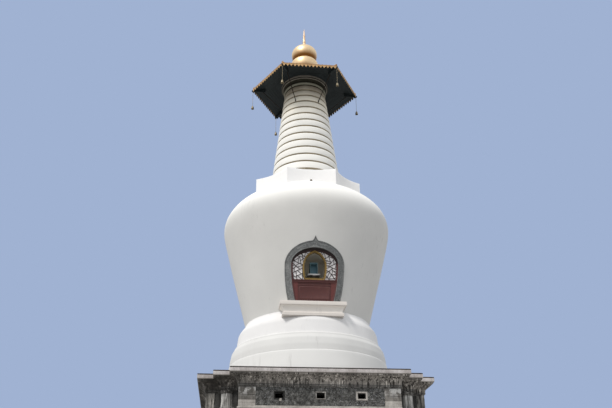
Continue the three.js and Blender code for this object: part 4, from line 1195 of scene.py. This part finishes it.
def in_field(point):
    """True where the lattice shows: inside the border, over the rail and outside the arch."""
    x, z = point
    if z < Z_RAIL or z > Z_SPRING + FRAME_INNER["rise"] - BORDER:
        return False
    return abs(x) < half_at(z, -BORDER) and not inside_arch(x, z, ARCH_W * 0.9)


def runs_of(points, shown):
    """The unbroken runs of points that are shown, each as its first and last point."""
    runs = [list(run) for kept, run in groupby(points, shown) if kept]
    return [(run[0], run[-1]) for run in runs if len(run) > 1]


def ice_lines():
    """Broken-ice lines: the field is split again and again by slanting cuts."""
    chance = random.Random(11)
    half, top = 1.25, Z_SPRING + FRAME_INNER["rise"]
    cells = [[Vector(p) for p in rectangle(x0, x0 + half, Z_RAIL, top)] for x0 in (-half, 0.0)]
    lines = []
    while cells:
        cell = cells.pop()
        corners = list(zip(cell, cell[1:] + cell[:1]))
        area = 0.5 * abs(sum(p.x * q.y - q.x * p.y for p, q in corners))
        if area < SMALLEST_CELL:
            continue
        centre = sum(cell, Vector((0, 0))) / len(cell)
        longest = max(corners, key=lambda pair: (pair[1] - pair[0]).length)
        along = (longest[1] - longest[0]).normalized()
        slant = math.radians(chance.choice((-1, 1)) * chance.uniform(48, 72))
        c, s = math.cos(slant), math.sin(slant)
        across = Vector((-along.x * s - along.y * c, along.x * c - along.y * s))
        halves = ([], [])
        ends = []
        for p, q in corners:
            dp, dq = (p - centre).dot(across), (q - centre).dot(across)
            halves[dp > 0].append(p)
            if (dp > 0) != (dq > 0):
                crossing = p.lerp(q, dp / (dp - dq))
                ends.append(crossing)
                halves[0].append(crossing)
                halves[1].append(crossing)
        lines.append(tuple(ends))
        cells += list(halves)
    return lines + [(Vector((0, Z_RAIL)), Vector((0, top)))]


def add_lattice():
    """The broken-ice lattice: bars with chamfered front edges, run a little way into each other."""
    front, chamfered, back, overrun = 0.035, 0.041, 0.066, 0.02
    section = ((-1, chamfered), (-0.6, front), (0.6, front), (1, chamfered), (1, back), (-1, back))
    bars = Solids()
    for p, q in ice_lines():
        steps = max(2, int((q - p).length / 0.02))
        for a, b in runs_of([p.lerp(q, i / steps) for i in range(steps + 1)], in_field):
            if (b - a).length < 0.03:
                continue
            along = (b - a).normalized()
            side = Vector((-along.y, along.x)) * BAR_HALF
            bars.tube([[on_screen(at.x + side.x * w, at.y + side.y * w, deep) for w, deep in section]
                       for at in (a - along * overrun, b + along * overrun)])
    bars.make("ice_lattice", DIM_MAROON, "maroon_timber",
              stands_for=("screen_lattice_left", "screen_lattice_right"), crease=40)


def add_backing():
    """Pale paper behind the lattice, in narrow upright strips that follow the opening and the arch."""
    strips, lap = 96, 0.02
    reach = FRAME_INNER["half"] - BORDER + lap
    heights = [Z_RAIL - lap + 0.01 * k for k in range(160)]
    sheet = Solids()
    for i in range(strips):
        x0, x1 = (-reach + 2 * reach * k / strips for k in (i, i + 1))
        middle = (x0 + x1) / 2

        def shown(z):
            return abs(middle) < half_at(z, lap - BORDER) and not inside_arch(middle, z, ARCH_W * 0.5)

        for run in runs_of(heights, shown):
            sheet.tube([board_end(x0, x1, z, 0.068, 0.1) for z in run])
    sheet.make("lattice_backing", PAPER, "paper", stands_for=("screen_backing_left", "screen_backing_right"),
               crease=30)


def add_screen_frame():
    """The border round the opening, painted darker at its head as painted shade, with the middle and bottom
    rails.
    """
    border = Solids()
    line = resampled(horseshoe(FRAME_INNER, -0.002, sides=24, turns=60), 120)
    section = [(0.0, 0.0), (0.0, 0.12), (0.077, 0.12), (0.077, 0.03), (0.065, 0.012), (0.04, 0.0)]
    inks = []
    # Stretches above the springing take the dim maroon, as painted shade under the head.
    for (_, za), (_, zb) in zip(line, line[1:]):
        inks += [1 if (za + zb) / 2 > Z_SPRING + 0.1 else 0] * len(section)
    border.tube(swept(line, section), inks + [0, 0])
    rail(border, Z_RAIL - RAIL_H, Z_RAIL, 0.0, 0.12, -0.06, 2)
    rail(border, Z_RAIL - 0.035, Z_RAIL + 0.006, -0.022, 0.01, -0.03)
    rail(border, Z_SILL + 0.004, Z_SILL + 0.13, 0.0, 0.12, -0.06, 2)
    border.make("maroon_frame", [MAROON, DIM_MAROON], "maroon_timber", stands_for=("screen_frame",))


def add_screen_panel():
    """The lower panel with its raised field, between two redder stiles."""
    grow, field_half, stile_from = -0.07, 0.80, 0.86
    z0, z1 = Z_SILL + 0.13, Z_RAIL - RAIL_H
    panel = Solids()
    rail(panel, z0 - 0.02, z1 + 0.02, 0.05, 0.09, grow, 10)
    rail(panel, z1 - 0.15, z1 - 0.10, 0.03, 0.06, grow, 2)
    rail(panel, z0, z0 + 0.06, 0.03, 0.06, grow, 2)
    rings = []
    for inset, out in ((0.0, 0.0), (0.0, 0.006), (0.05, 0.022), (0.058, 0.018)):
        field = rectangle(-field_half, field_half, z0 + 0.1, z1 - 0.19, inset)
        rings.append([on_screen(x, z, 0.05 - out) for x, z in field])
    panel.tube(rings)
    panel.make("maroon_panel", MAROON, "maroon_timber", stands_for=("screen_panel",))

    stiles = Solids()
    heights = [z0 + (z1 - z0) * k / 8 for k in range(9)]
    for sign in (-1, 1):
        spans = [sorted((sign * stile_from, sign * half_at(z, grow))) for z in heights]
        stiles.tube([board_end(*span, z, 0.028, 0.07) for span, z in zip(spans, heights)])
    stiles.make("panel_stiles", STILE_RED, "maroon_timber")


def add_arch():
    """The gilded pointed arch: two rolls and a ridge, dark hollows between them, and a row of beads."""
    w = ARCH_W / 2
    path = arch_line(w, 12)
    right = [(0.25, -0.016), (0.45, -0.002), (0.55, -0.014), (0.8, -0.02), (1, -0.008), (1, 0.11)]
    left = [(-a, deep) for a, deep in reversed(right)]
    section = [(w * a, deep) for a, deep in left + [(0, -0.024)] + right]
    around = [1, 0, 0, 0, 1, 0, 0, 1, 1, 1, 0, 1, 1]
    arch = Solids()
    arch.tube(swept(path, section, closed=True), around * len(path), closed=True)
    for x, z in resampled(path + path[:1], 84):
        arch.tube([[on_screen(a, b, deep) for a, b in circle(r, 8, x, z)]
                   for r, deep in ((0.0135, -0.012), (0.012, -0.022), (0.007, -0.028))])
    arch.make("gilt_arch", [GILT, GILT_SHADE], "gilt_timber", stands_for=("screen_arch",), crease=45)


def add_altar():
    """The table in the niche: a limewashed slab on a stone block."""
    lo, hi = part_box("niche_altar")
    slab_h, overhang = 0.09, 0.3
    altar = Solids()
    altar.box(lo.x + 0.06, hi.x - 0.06, lo.y + overhang, hi.y, lo.z, hi.z - slab_h, 1, edge=0.01)
    altar.box(lo.x, hi.x, lo.y, hi.y, hi.z - slab_h, hi.z - 0.05, 1, edge=0.008)
    altar.box(lo.x, hi.x, lo.y, hi.y, hi.z - 0.048, hi.z, 0, edge=0.012)
    altar.make("altar_table", [LIME_ALTAR, POST_STONE], "stone", stands_for=("niche_altar",), crease=30)


def add_shrine():
    """The open cabinet on the altar table."""
    lo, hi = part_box("niche_shrine")
    wall, head, edge = 0.03, 0.06, 0.006
    x0, x1 = lo.x + wall, hi.x - wall
    cabinet = Solids()
    cabinet.box(lo.x, x0, lo.y, hi.y, lo.z, hi.z, edge=edge)
    cabinet.box(x1, hi.x, lo.y, hi.y, lo.z, hi.z, edge=edge)
    cabinet.box(x0, x1, lo.y, hi.y, hi.z - head, hi.z, edge=edge)
    cabinet.box(x0, x1, lo.y, hi.y, lo.z, lo.z + wall, edge=edge)
    cabinet.box(x0, x1, hi.y - wall, hi.y, lo.z + wall, hi.z - head, 1)
    cabinet.make("shrine_cabinet", [BLUE_FRAME, BLUE], "maroon_timber", stands_for=("niche_shrine",),
                 crease=30)


# Neck


def polar(radius, degrees):
    """A point so many degrees anticlockwise from the front."""
    angle = math.radians(degrees)
    return (radius * math.sin(angle), -radius * math.cos(angle))


def seat_outline(inset):
    """The seat's eight-cornered plan with hollow sides, anticlockwise."""
    corners = [side + sign * SEAT_HALF_ANGLE for side in (0, 90, 180, 270) for sign in (-1, 1)]
    radius = SEAT_R - inset * 1.05
    points = []
    for i, start in enumerate(corners):
        end = corners[(i + 1) % 8] + (360 if i == 7 else 0)
        half = (end - start) / 2
        sag = SEAT_SAG_CORNER if i % 2 else SEAT_SAG_MAIN
        middle = radius * math.cos(math.radians(half)) - 2 * sag
        points += curve(polar(radius, start), polar(middle, start + half), polar(radius, end), 12)
    return points


def add_seat():
    """The seat under the neck, with a small round vent in each side."""
    levels = [(0.0, Z_SEAT_FOOT + 0.25 * i) for i in range(7)]
    levels += [(0.0, Z_SEAT - 0.03), (0.006, Z_SEAT - 0.012), (0.02, Z_SEAT - 0.003), (0.05, Z_SEAT),
               (1.3, Z_SEAT)]
    verts, faces = stacked(seat_outline, levels)
    shape = by_hand(0.01, 1.3)
    seat = make("seat_plaster", [shape(v) for v in verts], faces, [LIME_SEAT, GROOVE], "lime",
                stands_for=("neck_seat",), crease=32)
    for k in range(4):
        cut(seat, cutter_prism(circle(VENT_R, 20, 0, Z_VENT), -3.4, -2.6, k * math.pi / 2))
    # The vents' insides take the dark groove finish: painted shade in the holes.
    near = VENT_R * 1.1
    for polygon in seat.data.polygons:
        c = polygon.center
        deep = math.hypot(c.x, c.y) < 2.95 and abs(c.z - Z_VENT) < near
        polygon.material_index = 1 if deep and min(abs(c.x), abs(c.y)) < near else 0


def add_neck_rings():
    """The drum and the thirteen rings, with dirt and painted shade in the grooves under each ring."""
    drum = RING_R - GROOVE_IN + 0.03
    side = [(drum, Z_SEAT + 0.0005), (drum, Z_SEAT + 0.06), (drum - 0.012, Z_FIRST_RING - 0.03)]
    dirt_shade_bands = [0, 0, 0]
    rows = 9
    z = Z_FIRST_RING
    for i in range(RING_COUNT):
        h = RING_PITCH - i * i * RING_PITCH_LOSS
        r = RING_R - (z - Z_FIRST_RING) * RING_TAPER
        side += [(r - GROOVE_IN, z + 0.006), (r - GROOVE_IN, z + GROOVE_H - 0.012), (r - 0.03, z + GROOVE_H)]
        for k in range(rows + 1):
            t = k / rows
            bulge = 0.022 * math.sin(math.pi * t) ** 0.7
            rise = GROOVE_H + 0.03 + (h - GROOVE_H - 0.048) * t
            side.append((r - 0.012 - h * RING_TAPER * t * 0.55 + bulge, z + rise))
        dirt_shade_bands += [1, 1, 1, 1] + [0] * rows
        z += h
    side.append((side[-1][0] - 0.02, z - 0.002))
    dirt_shade_bands.append(0)
    profile = [(0, Z_SEAT + 0.0003)] + side + [(0, z - 0.0005)]
    verts, faces = lathe(profile, shape=by_hand(0.006, 0.8))
    # Groove bands take the dark grime: dirt, and painted shade under each ring.
    inks = lathe_inks(profile, lambda row: dirt_shade_bands[row] and dirt_shade_bands[row + 1])
    make("neck_rings_plaster", verts, faces, [LIME_SHADED, GROOVE], "lime", stands_for=("neck_rings",),
         crease=60, inks=inks)


def add_capital():
    """The neck's capital: a bead, a neck and hollow, and a slab, in dark olive limewash that is dirt and
    painted shade under the canopy, with the recesses near-black as painted shade.
    """
    cap = [(1.16, 0.0), (1.16, 0.045), (1.29, 0.052)] + arc(1.295, 0.131, 0.055, 0.077, -1, 1, 8)
    cap += [(1.243, 0.225), (1.24, 0.26), (1.24, 0.3)] + arc(1.44, 0.31, -0.14, 0.14, 0, 1, 9)
    cap += [(1.44, 0.475), (1.41, 0.484), (1.41, 0.502), (1.49, 0.511), (1.5, 0.522), (1.5, 0.618),
            (1.49, 0.629)]

    # Near-black painted shade in the bead's foot, the neck and hollow, and the groove under the slab.
    def band(row):
        h = (cap[row][1] + cap[row + 1][1]) / 2
        if h < 0.052 or 0.208 < h < 0.44 or 0.476 < h < 0.511:
            return 1
        return 2 if h > 0.44 else 0

    profile = [(0, Z_CAPITAL)] + [(r, Z_CAPITAL + h) for r, h in cap] + [(0, Z_CAPITAL + CAPITAL_H - 0.0005)]
    verts, faces = lathe(profile, shape=by_hand(0.004, 0.8))
    make("capital_plaster", verts, faces, [LIME_CAPITAL, CAPITAL_HOLLOW_SHADE, CAPITAL_SLAB], "lime",
         stands_for=("neck_capital",), crease=40, inks=lathe_inks(profile, band))


# Canopy


def corner_angle(i):
    """Turn about Z that carries a piece drawn towards the front onto corner i."""
    return math.radians(30 + 60 * i)


def hexagon(r, z):
    return [Vector((r * math.sin(a), -r * math.cos(a), z)) for a in [corner_angle(i) for i in range(6)]]


def sideways(points, x):
    """Pairs of (y, z) as points on an upright plane at x."""
    return [(x, y, z) for y, z in points]


def add_drip(part, x):
    """One drip tile: a pointed leaf with a raised rim and a small boss."""
    root = TOOTH_PITCH * 0.37
    y0, y1 = -APOTHEM + 0.002, -APOTHEM + 0.03
    half = [(root, 0.035), (root, -0.012), (root * 0.72, -0.055), (root * 0.36, -0.1)]
    leaf = half + [(0, Z_TEETH + 0.003 - Z_EAVE)] + [(-a, b) for a, b in reversed(half)]
    middle = -0.025
    rings = [facing([(x + a * share, Z_EAVE + middle + (b - middle) * share) for a, b in leaf], y)
             for share, y in ((1.0, y1), (1.0, y0 + 0.006), (0.95, y0), (0.8, y0), (0.74, y0 + 0.007))]
    # The leaf's back and edges take the soffit's near-black, as painted shade on drips seen from behind.
    part.tube(rings, [1] * len(leaf) + [0] * (3 * len(leaf)) + [1, 0])
    part.tube([facing(reversed(circle(r, 10, x, Z_EAVE - 0.03)), y)
               for r, y in ((0.028, y0 + 0.007), (0.024, y0), (0.012, y0 - 0.0015))])


def add_eave():
    """Gilded drip tiles hanging from a lip, on each of the six sides."""
    part = Solids()
    for i in range(TEETH):
        add_drip(part, -EAVE_R / 2 + TOOTH_PITCH * (i + 0.5))
    lip = EAVE_R / 2 - 0.015
    part.box(-lip, lip, -APOTHEM + 0.004, -APOTHEM + 0.044, Z_EAVE + 0.012, Z_EAVE + EAVE_BAND_H, edge=0.006)
    drips = Solids()
    drips.put_six(part)
    drips.make("gilded_drips", [DRIP, BOARDS], "glazed_tile", stands_for=("canopy_eave",))


def roof_height(d):
    """Height of the roof's surface at a distance in from the eave's edge."""
    z_edge = Z_EAVE + EAVE_BAND_H + ROOF_EDGE_H
    t = min(1.0, max(0.0, d / ROOF_RUN))
    return z_edge + (Z_FINIAL - 0.02 - z_edge) * (0.72 * t + 0.28 * t * t * t)


def cover_tiles():
    """One slope's rows of round cover tiles, each row with a round cap at the eave."""
    part = Solids()
    for i in range(TEETH + 1):
        x = -EAVE_R / 2 + TOOTH_PITCH * i
        reach = ROOF_RUN if abs(x) < 0.28 else APOTHEM - abs(x) / math.tan(math.pi / 6)
        reach = min(reach, ROOF_RUN) - 0.1
        if reach < 0.3:
            continue
        tiles = max(1, int(reach / 0.3))
        for k in range(tiles):
            rings = []
            for d, r in ((reach * k / tiles, 0.05), (reach * (k + 1) / tiles + 0.012, 0.043)):
                half_round = circle(r, 12, x, roof_height(d) - 0.02)[:7]
                rings.append(facing(reversed(half_round), -APOTHEM + 0.012 + d))
            part.tube(rings)
        part.tube([facing(reversed(circle(r, 12, x, Z_EAVE + EAVE_BAND_H + 0.022)), -APOTHEM + y)
                   for r, y in ((0.046, 0.03), (0.046, 0.006), (0.038, 0.0), (0.022, 0.002))])
    return part


def hip():
    """The ridge along one corner of the roof, drawn towards the front."""
    count, width, tall = 12, 0.065, 0.105
    section = [(1, -0.06), (1, 0.03), (0.6, tall * 0.8), (0, tall), (-0.6, tall * 0.8), (-1, 0.03),
               (-1, -0.06)]
    part = Solids()
    rings = []
    for k in range(count + 1):
        d = ROOF_RUN * k / count
        r = (APOTHEM - d) / COS_30 - 0.03
        z = roof_height(d) + (0.03 if k == 0 else 0.0)
        rings.append([(width * a, -r, z + h) for a, h in section])
    part.tube(rings)
    return part


def add_roof():
    """Glazed tiles: a bed on each of the six slopes, the cover tiles, the hips and the collar."""
    z_edge = Z_EAVE + EAVE_BAND_H
    under = CEILING_T + 0.0003
    rows = 14
    slopes = [(CEILING_FLAT_R, Z_CEILING + under), (SOFFIT_R, Z_EAVE + under), (SOFFIT_R, z_edge),
              (EAVE_R, z_edge)]
    for i in range(rows + 1):
        d = ROOF_RUN * i / rows
        slopes.append(((APOTHEM - d) / COS_30, roof_height(d) - 0.012 * (d > 0)))
    roof = Solids()
    roof.tube([hexagon(r, z) for r, z in slopes], [1] * 18 + [0] * (6 * (len(slopes) - 4)) + [1, 0])
    roof.put_six(cover_tiles())
    roof.put_six(hip(), corner_angle(0))
    collar = [(0, -0.16), (0.05, -0.16), (0.09, -0.12), (0.09, -0.07), (0.02, -0.045), (-0.02, -0.005)]
    collar = [(ROOF_TOP_R + a if i else 0, Z_FINIAL + b) for i, (a, b) in enumerate(collar)]
    collar.append((0, Z_FINIAL - 0.004))
    roof.add(*lathe(rounded(collar, 0.02), 72))
    roof.make("tiled_roof", [TILE, BOARDS], "glazed_tile", stands_for=("canopy_roof",), crease=40)


def soffit_boards():
    """One side's boards under the canopy, laid along the eave and stepped a little at each joint."""
    part = Solids()
    width = (SOFFIT_R - CEILING_FLAT_R) / SOFFIT_ROWS
    thick = CEILING_T - 0.012
    for k in range(SOFFIT_ROWS):
        corners = []
        for r in (CEILING_FLAT_R + width * (k + 1) - 0.012, CEILING_FLAT_R + width * k):
            share = (r - CEILING_FLAT_R) / (SOFFIT_R - CEILING_FLAT_R)
            z = Z_CEILING + (Z_EAVE - Z_CEILING) * share + 0.006 * (k % 2)
            corners.append([(-r / 2, -r * COS_30, z), (r / 2, -r * COS_30, z)])
        (a, b), (d, c) = corners
        part.tube([[(x, y, z + rise) for x, y, z in (a, b, c, d)] for rise in (0, thick)])
    return part


def hip_beam():
    """The beam under one corner, drawn towards the front, with the iron clevis and pin of its bell."""
    z = Z_EAVE - BEAM_H
    slope = (Z_CEILING - Z_EAVE) / (SOFFIT_R - CEILING_FLAT_R)
    line = [(-BEAM_OUT, z + 0.03), (-BEAM_OUT + 0.02, z), (-BEAM_IN, z),
            (-BEAM_IN, Z_EAVE + slope * (SOFFIT_R - BEAM_IN)), (-SOFFIT_R + 0.06, Z_EAVE + slope * 0.06),
            (-SOFFIT_R + 0.06, Z_EAVE - 0.001), (-BEAM_OUT, Z_EAVE - 0.001)]
    part = Solids()
    part.tube([sideways(line, x) for x in (-BEAM_HALF, BEAM_HALF)])
    cheek = circle(0.015, 16, PIN_Y, Z_PIN)[8:] + [(PIN_Y + 0.015, Z_PIN), (PIN_Y + 0.015, z + 0.004),
                                                   (PIN_Y - 0.015, z + 0.004)]
    for sign in (-1, 1):
        part.tube([sideways(cheek, x) for x in sorted((sign * 0.016, sign * 0.024))], 1)
    for r, x0, x1 in ((0.009, -0.026, 0.026), (0.013, -0.031, -0.024), (0.013, 0.024, 0.031)):
        part.tube([sideways(circle(r, 16, PIN_Y, Z_PIN), x) for x in (x0, x1)], 1)
    return part


def add_soffit():
    """Dark boards under the canopy, with hip beams and their iron clevises."""
    soffit = Solids()
    soffit.tube([hexagon(CEILING_FLAT_R, Z_CEILING + rise) for rise in (0.0003, CEILING_T)])
    soffit.put_six(soffit_boards())
    z_inner, z_outer = Z_CEILING + CEILING_T, Z_EAVE + CEILING_T
    lining = [(SOFFIT_R, z_outer - 0.014), (SOFFIT_R, z_outer), (CEILING_FLAT_R, z_inner - 0.001),
              (CEILING_FLAT_R - 0.3, z_inner - 0.001), (CEILING_FLAT_R - 0.3, z_inner - 0.013),
              (CEILING_FLAT_R, z_inner - 0.013)]
    soffit.tube([hexagon(r, z) for r, z in lining], closed=True)
    soffit.put_six(hip_beam(), corner_angle(0))
    soffit.make("soffit", [BOARDS, IRON], "dark_boards", stands_for=("canopy_ceiling",), crease=30)


def add_struts():
    """Iron stays with a foot plate on the neck and collars at both ends and the middle."""
    slope = (STRUT_HEAD_R - STRUT_FOOT_R) / (Z_STRUT_HEAD - Z_STRUT_FOOT)
    across = Vector((1, 0, 0))
    for i in range(6):
        name = f"canopy_strut_{i + 1}"
        heights = (low(name).z + 0.03, high(name).z - 0.02)
        a, b = (Vector((0, -STRUT_FOOT_R - slope * (z - Z_STRUT_FOOT), z)) for z in heights)
        other = (b - a).normalized().cross(across)
        part = Solids()
        for start, end, r in ((0, 1, 0.024), (0.02, 0.035, 0.034), (0.955, 0.97, 0.034), (0.48, 0.52, 0.029)):
            part.tube([[a.lerp(b, share) + across * p + other * q for p, q in circle(r, 12)]
                       for share in (start, end)])
        part.box(-0.035, 0.035, a.y - 0.02, a.y + 0.03, a.z - 0.06, a.z + 0.05, edge=0.004)
        stay = Solids()
        stay.put(part, corner_angle(i))
        stay.make(f"iron_stay_{i + 1}", IRON, "iron", stands_for=(name,), crease=40)


def bell_profile():
    """A wind bell from its inside over the lip and up the swaged rod, as (radius, z) pairs."""
    z_lip = low("wind_bell_1").z
    z_cap = z_lip + BELL_H
    rod_top = Z_PIN - 0.02
    inner = [(0, z_cap - 0.058), (BELL_R * 0.5 - BELL_WALL, z_cap - 0.062),
             (BELL_R * 0.75 - BELL_WALL, z_cap - 0.15), (BELL_R - BELL_WALL, z_lip)]
    outer = [(1, 0), (0.985, 0.012), (0.93, 0.02), (0.87, 0.05), (0.82, 0.078), (0.84, 0.084), (0.84, 0.092),
             (0.79, 0.098), (0.73, 0.14), (0.62, BELL_H - 0.038), (0.45, BELL_H - 0.014), (0.28, BELL_H)]
    rod = [(0.016, z_cap + 0.008), (0.019, z_cap + 0.022), (0.016, z_cap + 0.035), (ROD_R, z_cap + 0.042)]
    for k in range(1, 8):
        z = z_cap + 0.042 + (rod_top - z_cap - 0.05) * k / 8
        rod += [(ROD_R, z - 0.006), (ROD_R * 1.12, z), (ROD_R, z + 0.006)]
    rod += [(ROD_R, rod_top), (0, rod_top)]
    return inner + [(BELL_R * share, z_lip + h) for share, h in outer] + rod


def add_bells():
    """Wind bells with raised bands, each on a rod that hangs by its eye from a pin."""
    verts, faces = lathe(bell_profile(), 32)
    part = Solids()
    part.add([v + Vector((0, PIN_Y, 0)) for v in verts], faces)
    eye = []
    for c, s in circle(1, 28):
        section = [(0.006 * q, 0.0172 + 0.0066 * p) for p, q in circle(1, 10)]
        eye.append([(x, PIN_Y + reach * c, Z_PIN + reach * s) for x, reach in section])
    part.tube(eye, closed=True)
    for i in range(6):
        bell = Solids()
        bell.put(part, corner_angle(i))
        bell.make(f"bell_{i + 1}_bronze", BRONZE, "bronze", body=f"bell_{i + 1}",
                  stands_for=(f"wind_bell_{i + 1}",), crease=40)


# Finial


def bulb(z_low, r_low, widest, z_high, r_high):
    """A gourd's bulb from its foot over its widest level to its top, as a profile for lathe()."""
    r, z = widest["r"], widest["z"]
    under = arc(r_low, z, r - r_low, z_low - z, 1, 0, 18)
    over = arc(r_high, z, r - r_high, z_high - z, 0, 1, 18)
    return [(0, z_low)] + under + over[1:] + [(0, z_high)]


def add_finial():
    z_waist, z_neck, z_tip = low("finial_upper_bulb").z, low("finial_spike").z, high("finial_spike").z
    seam = 0.0005
    lower = bulb(Z_FINIAL, 0.56, GOURD_LOW, z_waist - seam, GOURD_WAIST_R)
    upper = bulb(z_waist, GOURD_WAIST_R, GOURD_HIGH, z_neck - seam, 0.16)
    spike = [(0.155, 0), (0.15, 0.02), (0.127, 0.09), (0.112, 0.2), (0.096, 0.38), (0.1, 0.43),
             (0.109, 0.47), (0.108, 0.5), (0.09, 0.56), (0.08, 0.75), (0.067, 0.96), (0.071, 1.0),
             (0.079, 1.04), (0.07, 1.08), (0.052, 1.13), (0.034, 1.4)]
    spike = [(0, z_neck)] + [(r, z_neck + h) for r, h in spike] + [(0.012, z_tip - 0.005), (0, z_tip)]
    for name, profile, segments, gold, node in (
            ("gourd_lower", lower, 128, GOLD, "finial_lower_bulb"),
            ("gourd_upper", upper, 128, GOLD, "finial_upper_bulb"),
            ("gourd_spike", rounded(spike, 0.02), 64, SPIKE_GOLD, "finial_spike")):
        make(name, *lathe(profile, segments), gold, "gilt_copper", stands_for=(node,), crease=50)


# Stage, light and camera


def add_stage():
    """A small pale floor: the camera stands lower than the ground, so a wide one would hide the object."""
    verts, faces = lathe([(0, -0.06), (9.2, -0.06), (9.3, -0.03), (9.2, -0.001), (0, -0.001)], 96)
    mesh = bpy.data.meshes.new("floor")
    mesh.from_pydata([tuple(v) for v in verts], [], faces)
    floor = bpy.data.objects.new("floor", mesh)
    scene.collection.objects.link(floor)
    paint = Paint("floor_pale", roughness=0.9)
    cloud = paint.ramp(paint.noise(1.5, 3), [(0.3, (0.56, 0.56, 0.56)), (0.7, (0.62, 0.62, 0.61))])
    mesh.materials.append(paint.finish(cloud))


def add_sky():
    """A plain blue sky that the camera sees, and a soft pale one that lights the object."""
    world = bpy.data.worlds.new("studio")
    scene.world = world
    world.use_nodes = True
    tree = world.node_tree
    tree.nodes.clear()

    def node(kind, *links):
        """Adds a node and links each (output, input socket's name or number)."""
        made = tree.nodes.new("ShaderNode" + kind)
        for output, socket in links:
            tree.links.new(output, made.inputs[socket])
        return made

    split = node("SeparateXYZ", (node("TexCoord").outputs["Generated"], 0))
    rescale = node("MapRange", (split.outputs[2], 0))
    rescale.inputs[1].default_value = -1
    rescale.inputs[2].default_value = 1
    ramp = node("ValToRGB", (rescale.outputs[0], 0))
    set_stops(ramp, [(0.0, (0.38, 0.37, 0.36)), (0.46, (0.43, 0.43, 0.43)), (0.54, (0.72, 0.75, 0.79)),
                     (1.0, (0.80, 0.83, 0.87))])
    light = node("Background", (ramp.outputs[0], "Color"))
    backdrop = node("Background")
    backdrop.inputs["Color"].default_value = (0.352, 0.445, 0.645, 1)
    chosen = node("MixShader", (node("LightPath").outputs["Is Camera Ray"], 0), (light.outputs[0], 1),
                  (backdrop.outputs[0], 2))
    node("OutputWorld", (chosen.outputs[0], "Surface"))


def add_sun():
    """A hazy sun, high on the left of the camera."""
    lamp = bpy.data.lights.new("key", "SUN")
    lamp.energy = 2.2
    lamp.angle = math.radians(14)
    lamp.color = (1.0, 0.965, 0.91)
    key = bpy.data.objects.new("key", lamp)
    scene.collection.objects.link(key)
    elevation = math.radians(50)
    x, y = polar(math.cos(elevation), -42)
    key.rotation_mode = "QUATERNION"
    key.rotation_quaternion = Vector((x, y, math.sin(elevation))).to_track_quat("Z", "Y")


def add_camera():
    """The photograph's viewpoint: below the terrace and a little to the left of the niche."""
    tilt, roll, heading, turn = (math.radians(a) for a in (27.097, -0.646, 0.001, 6.332))
    distance, drop = 37.8, 8.12
    forward = Vector((math.sin(heading) * math.cos(tilt), math.cos(heading) * math.cos(tilt), math.sin(tilt)))
    right = Vector((math.cos(heading), -math.sin(heading), 0))
    up = right.cross(forward)
    right, up = right * math.cos(roll) + up * math.sin(roll), up * math.cos(roll) - right * math.sin(roll)
    spin = Matrix((right, up, -forward)).transposed()
    back = Matrix.Rotation(-turn, 3, "Z")
    data = bpy.data.cameras.new("camera")
    data.sensor_width = 36
    data.lens = 41.80
    data.clip_end = 500
    camera = bpy.data.objects.new("camera", data)
    scene.collection.objects.link(camera)
    place = back @ Vector((0, -distance, 0)) + Vector((0, 0, Z_TOP - drop))
    camera.matrix_world = Matrix.Translation(place) @ (back @ spin).to_4x4()
    scene.camera = camera


for add in (add_camera, add_sky, add_sun, add_stage, add_foot, add_mouldings, add_cornice, add_panel_walls,
            add_panel_relief, add_niche_surrounds, add_posts, add_waist_core, add_shafts, add_base_rings,
            add_dome, add_sill, add_niche_frame, add_screen_frame, add_screen_panel, add_arch, add_lattice,
            add_backing, add_altar, add_shrine, add_seat, add_neck_rings, add_capital, add_eave, add_roof,
            add_soffit, add_struts, add_bells, add_finial):
    add()
scene.view_settings.view_transform = "Standard"
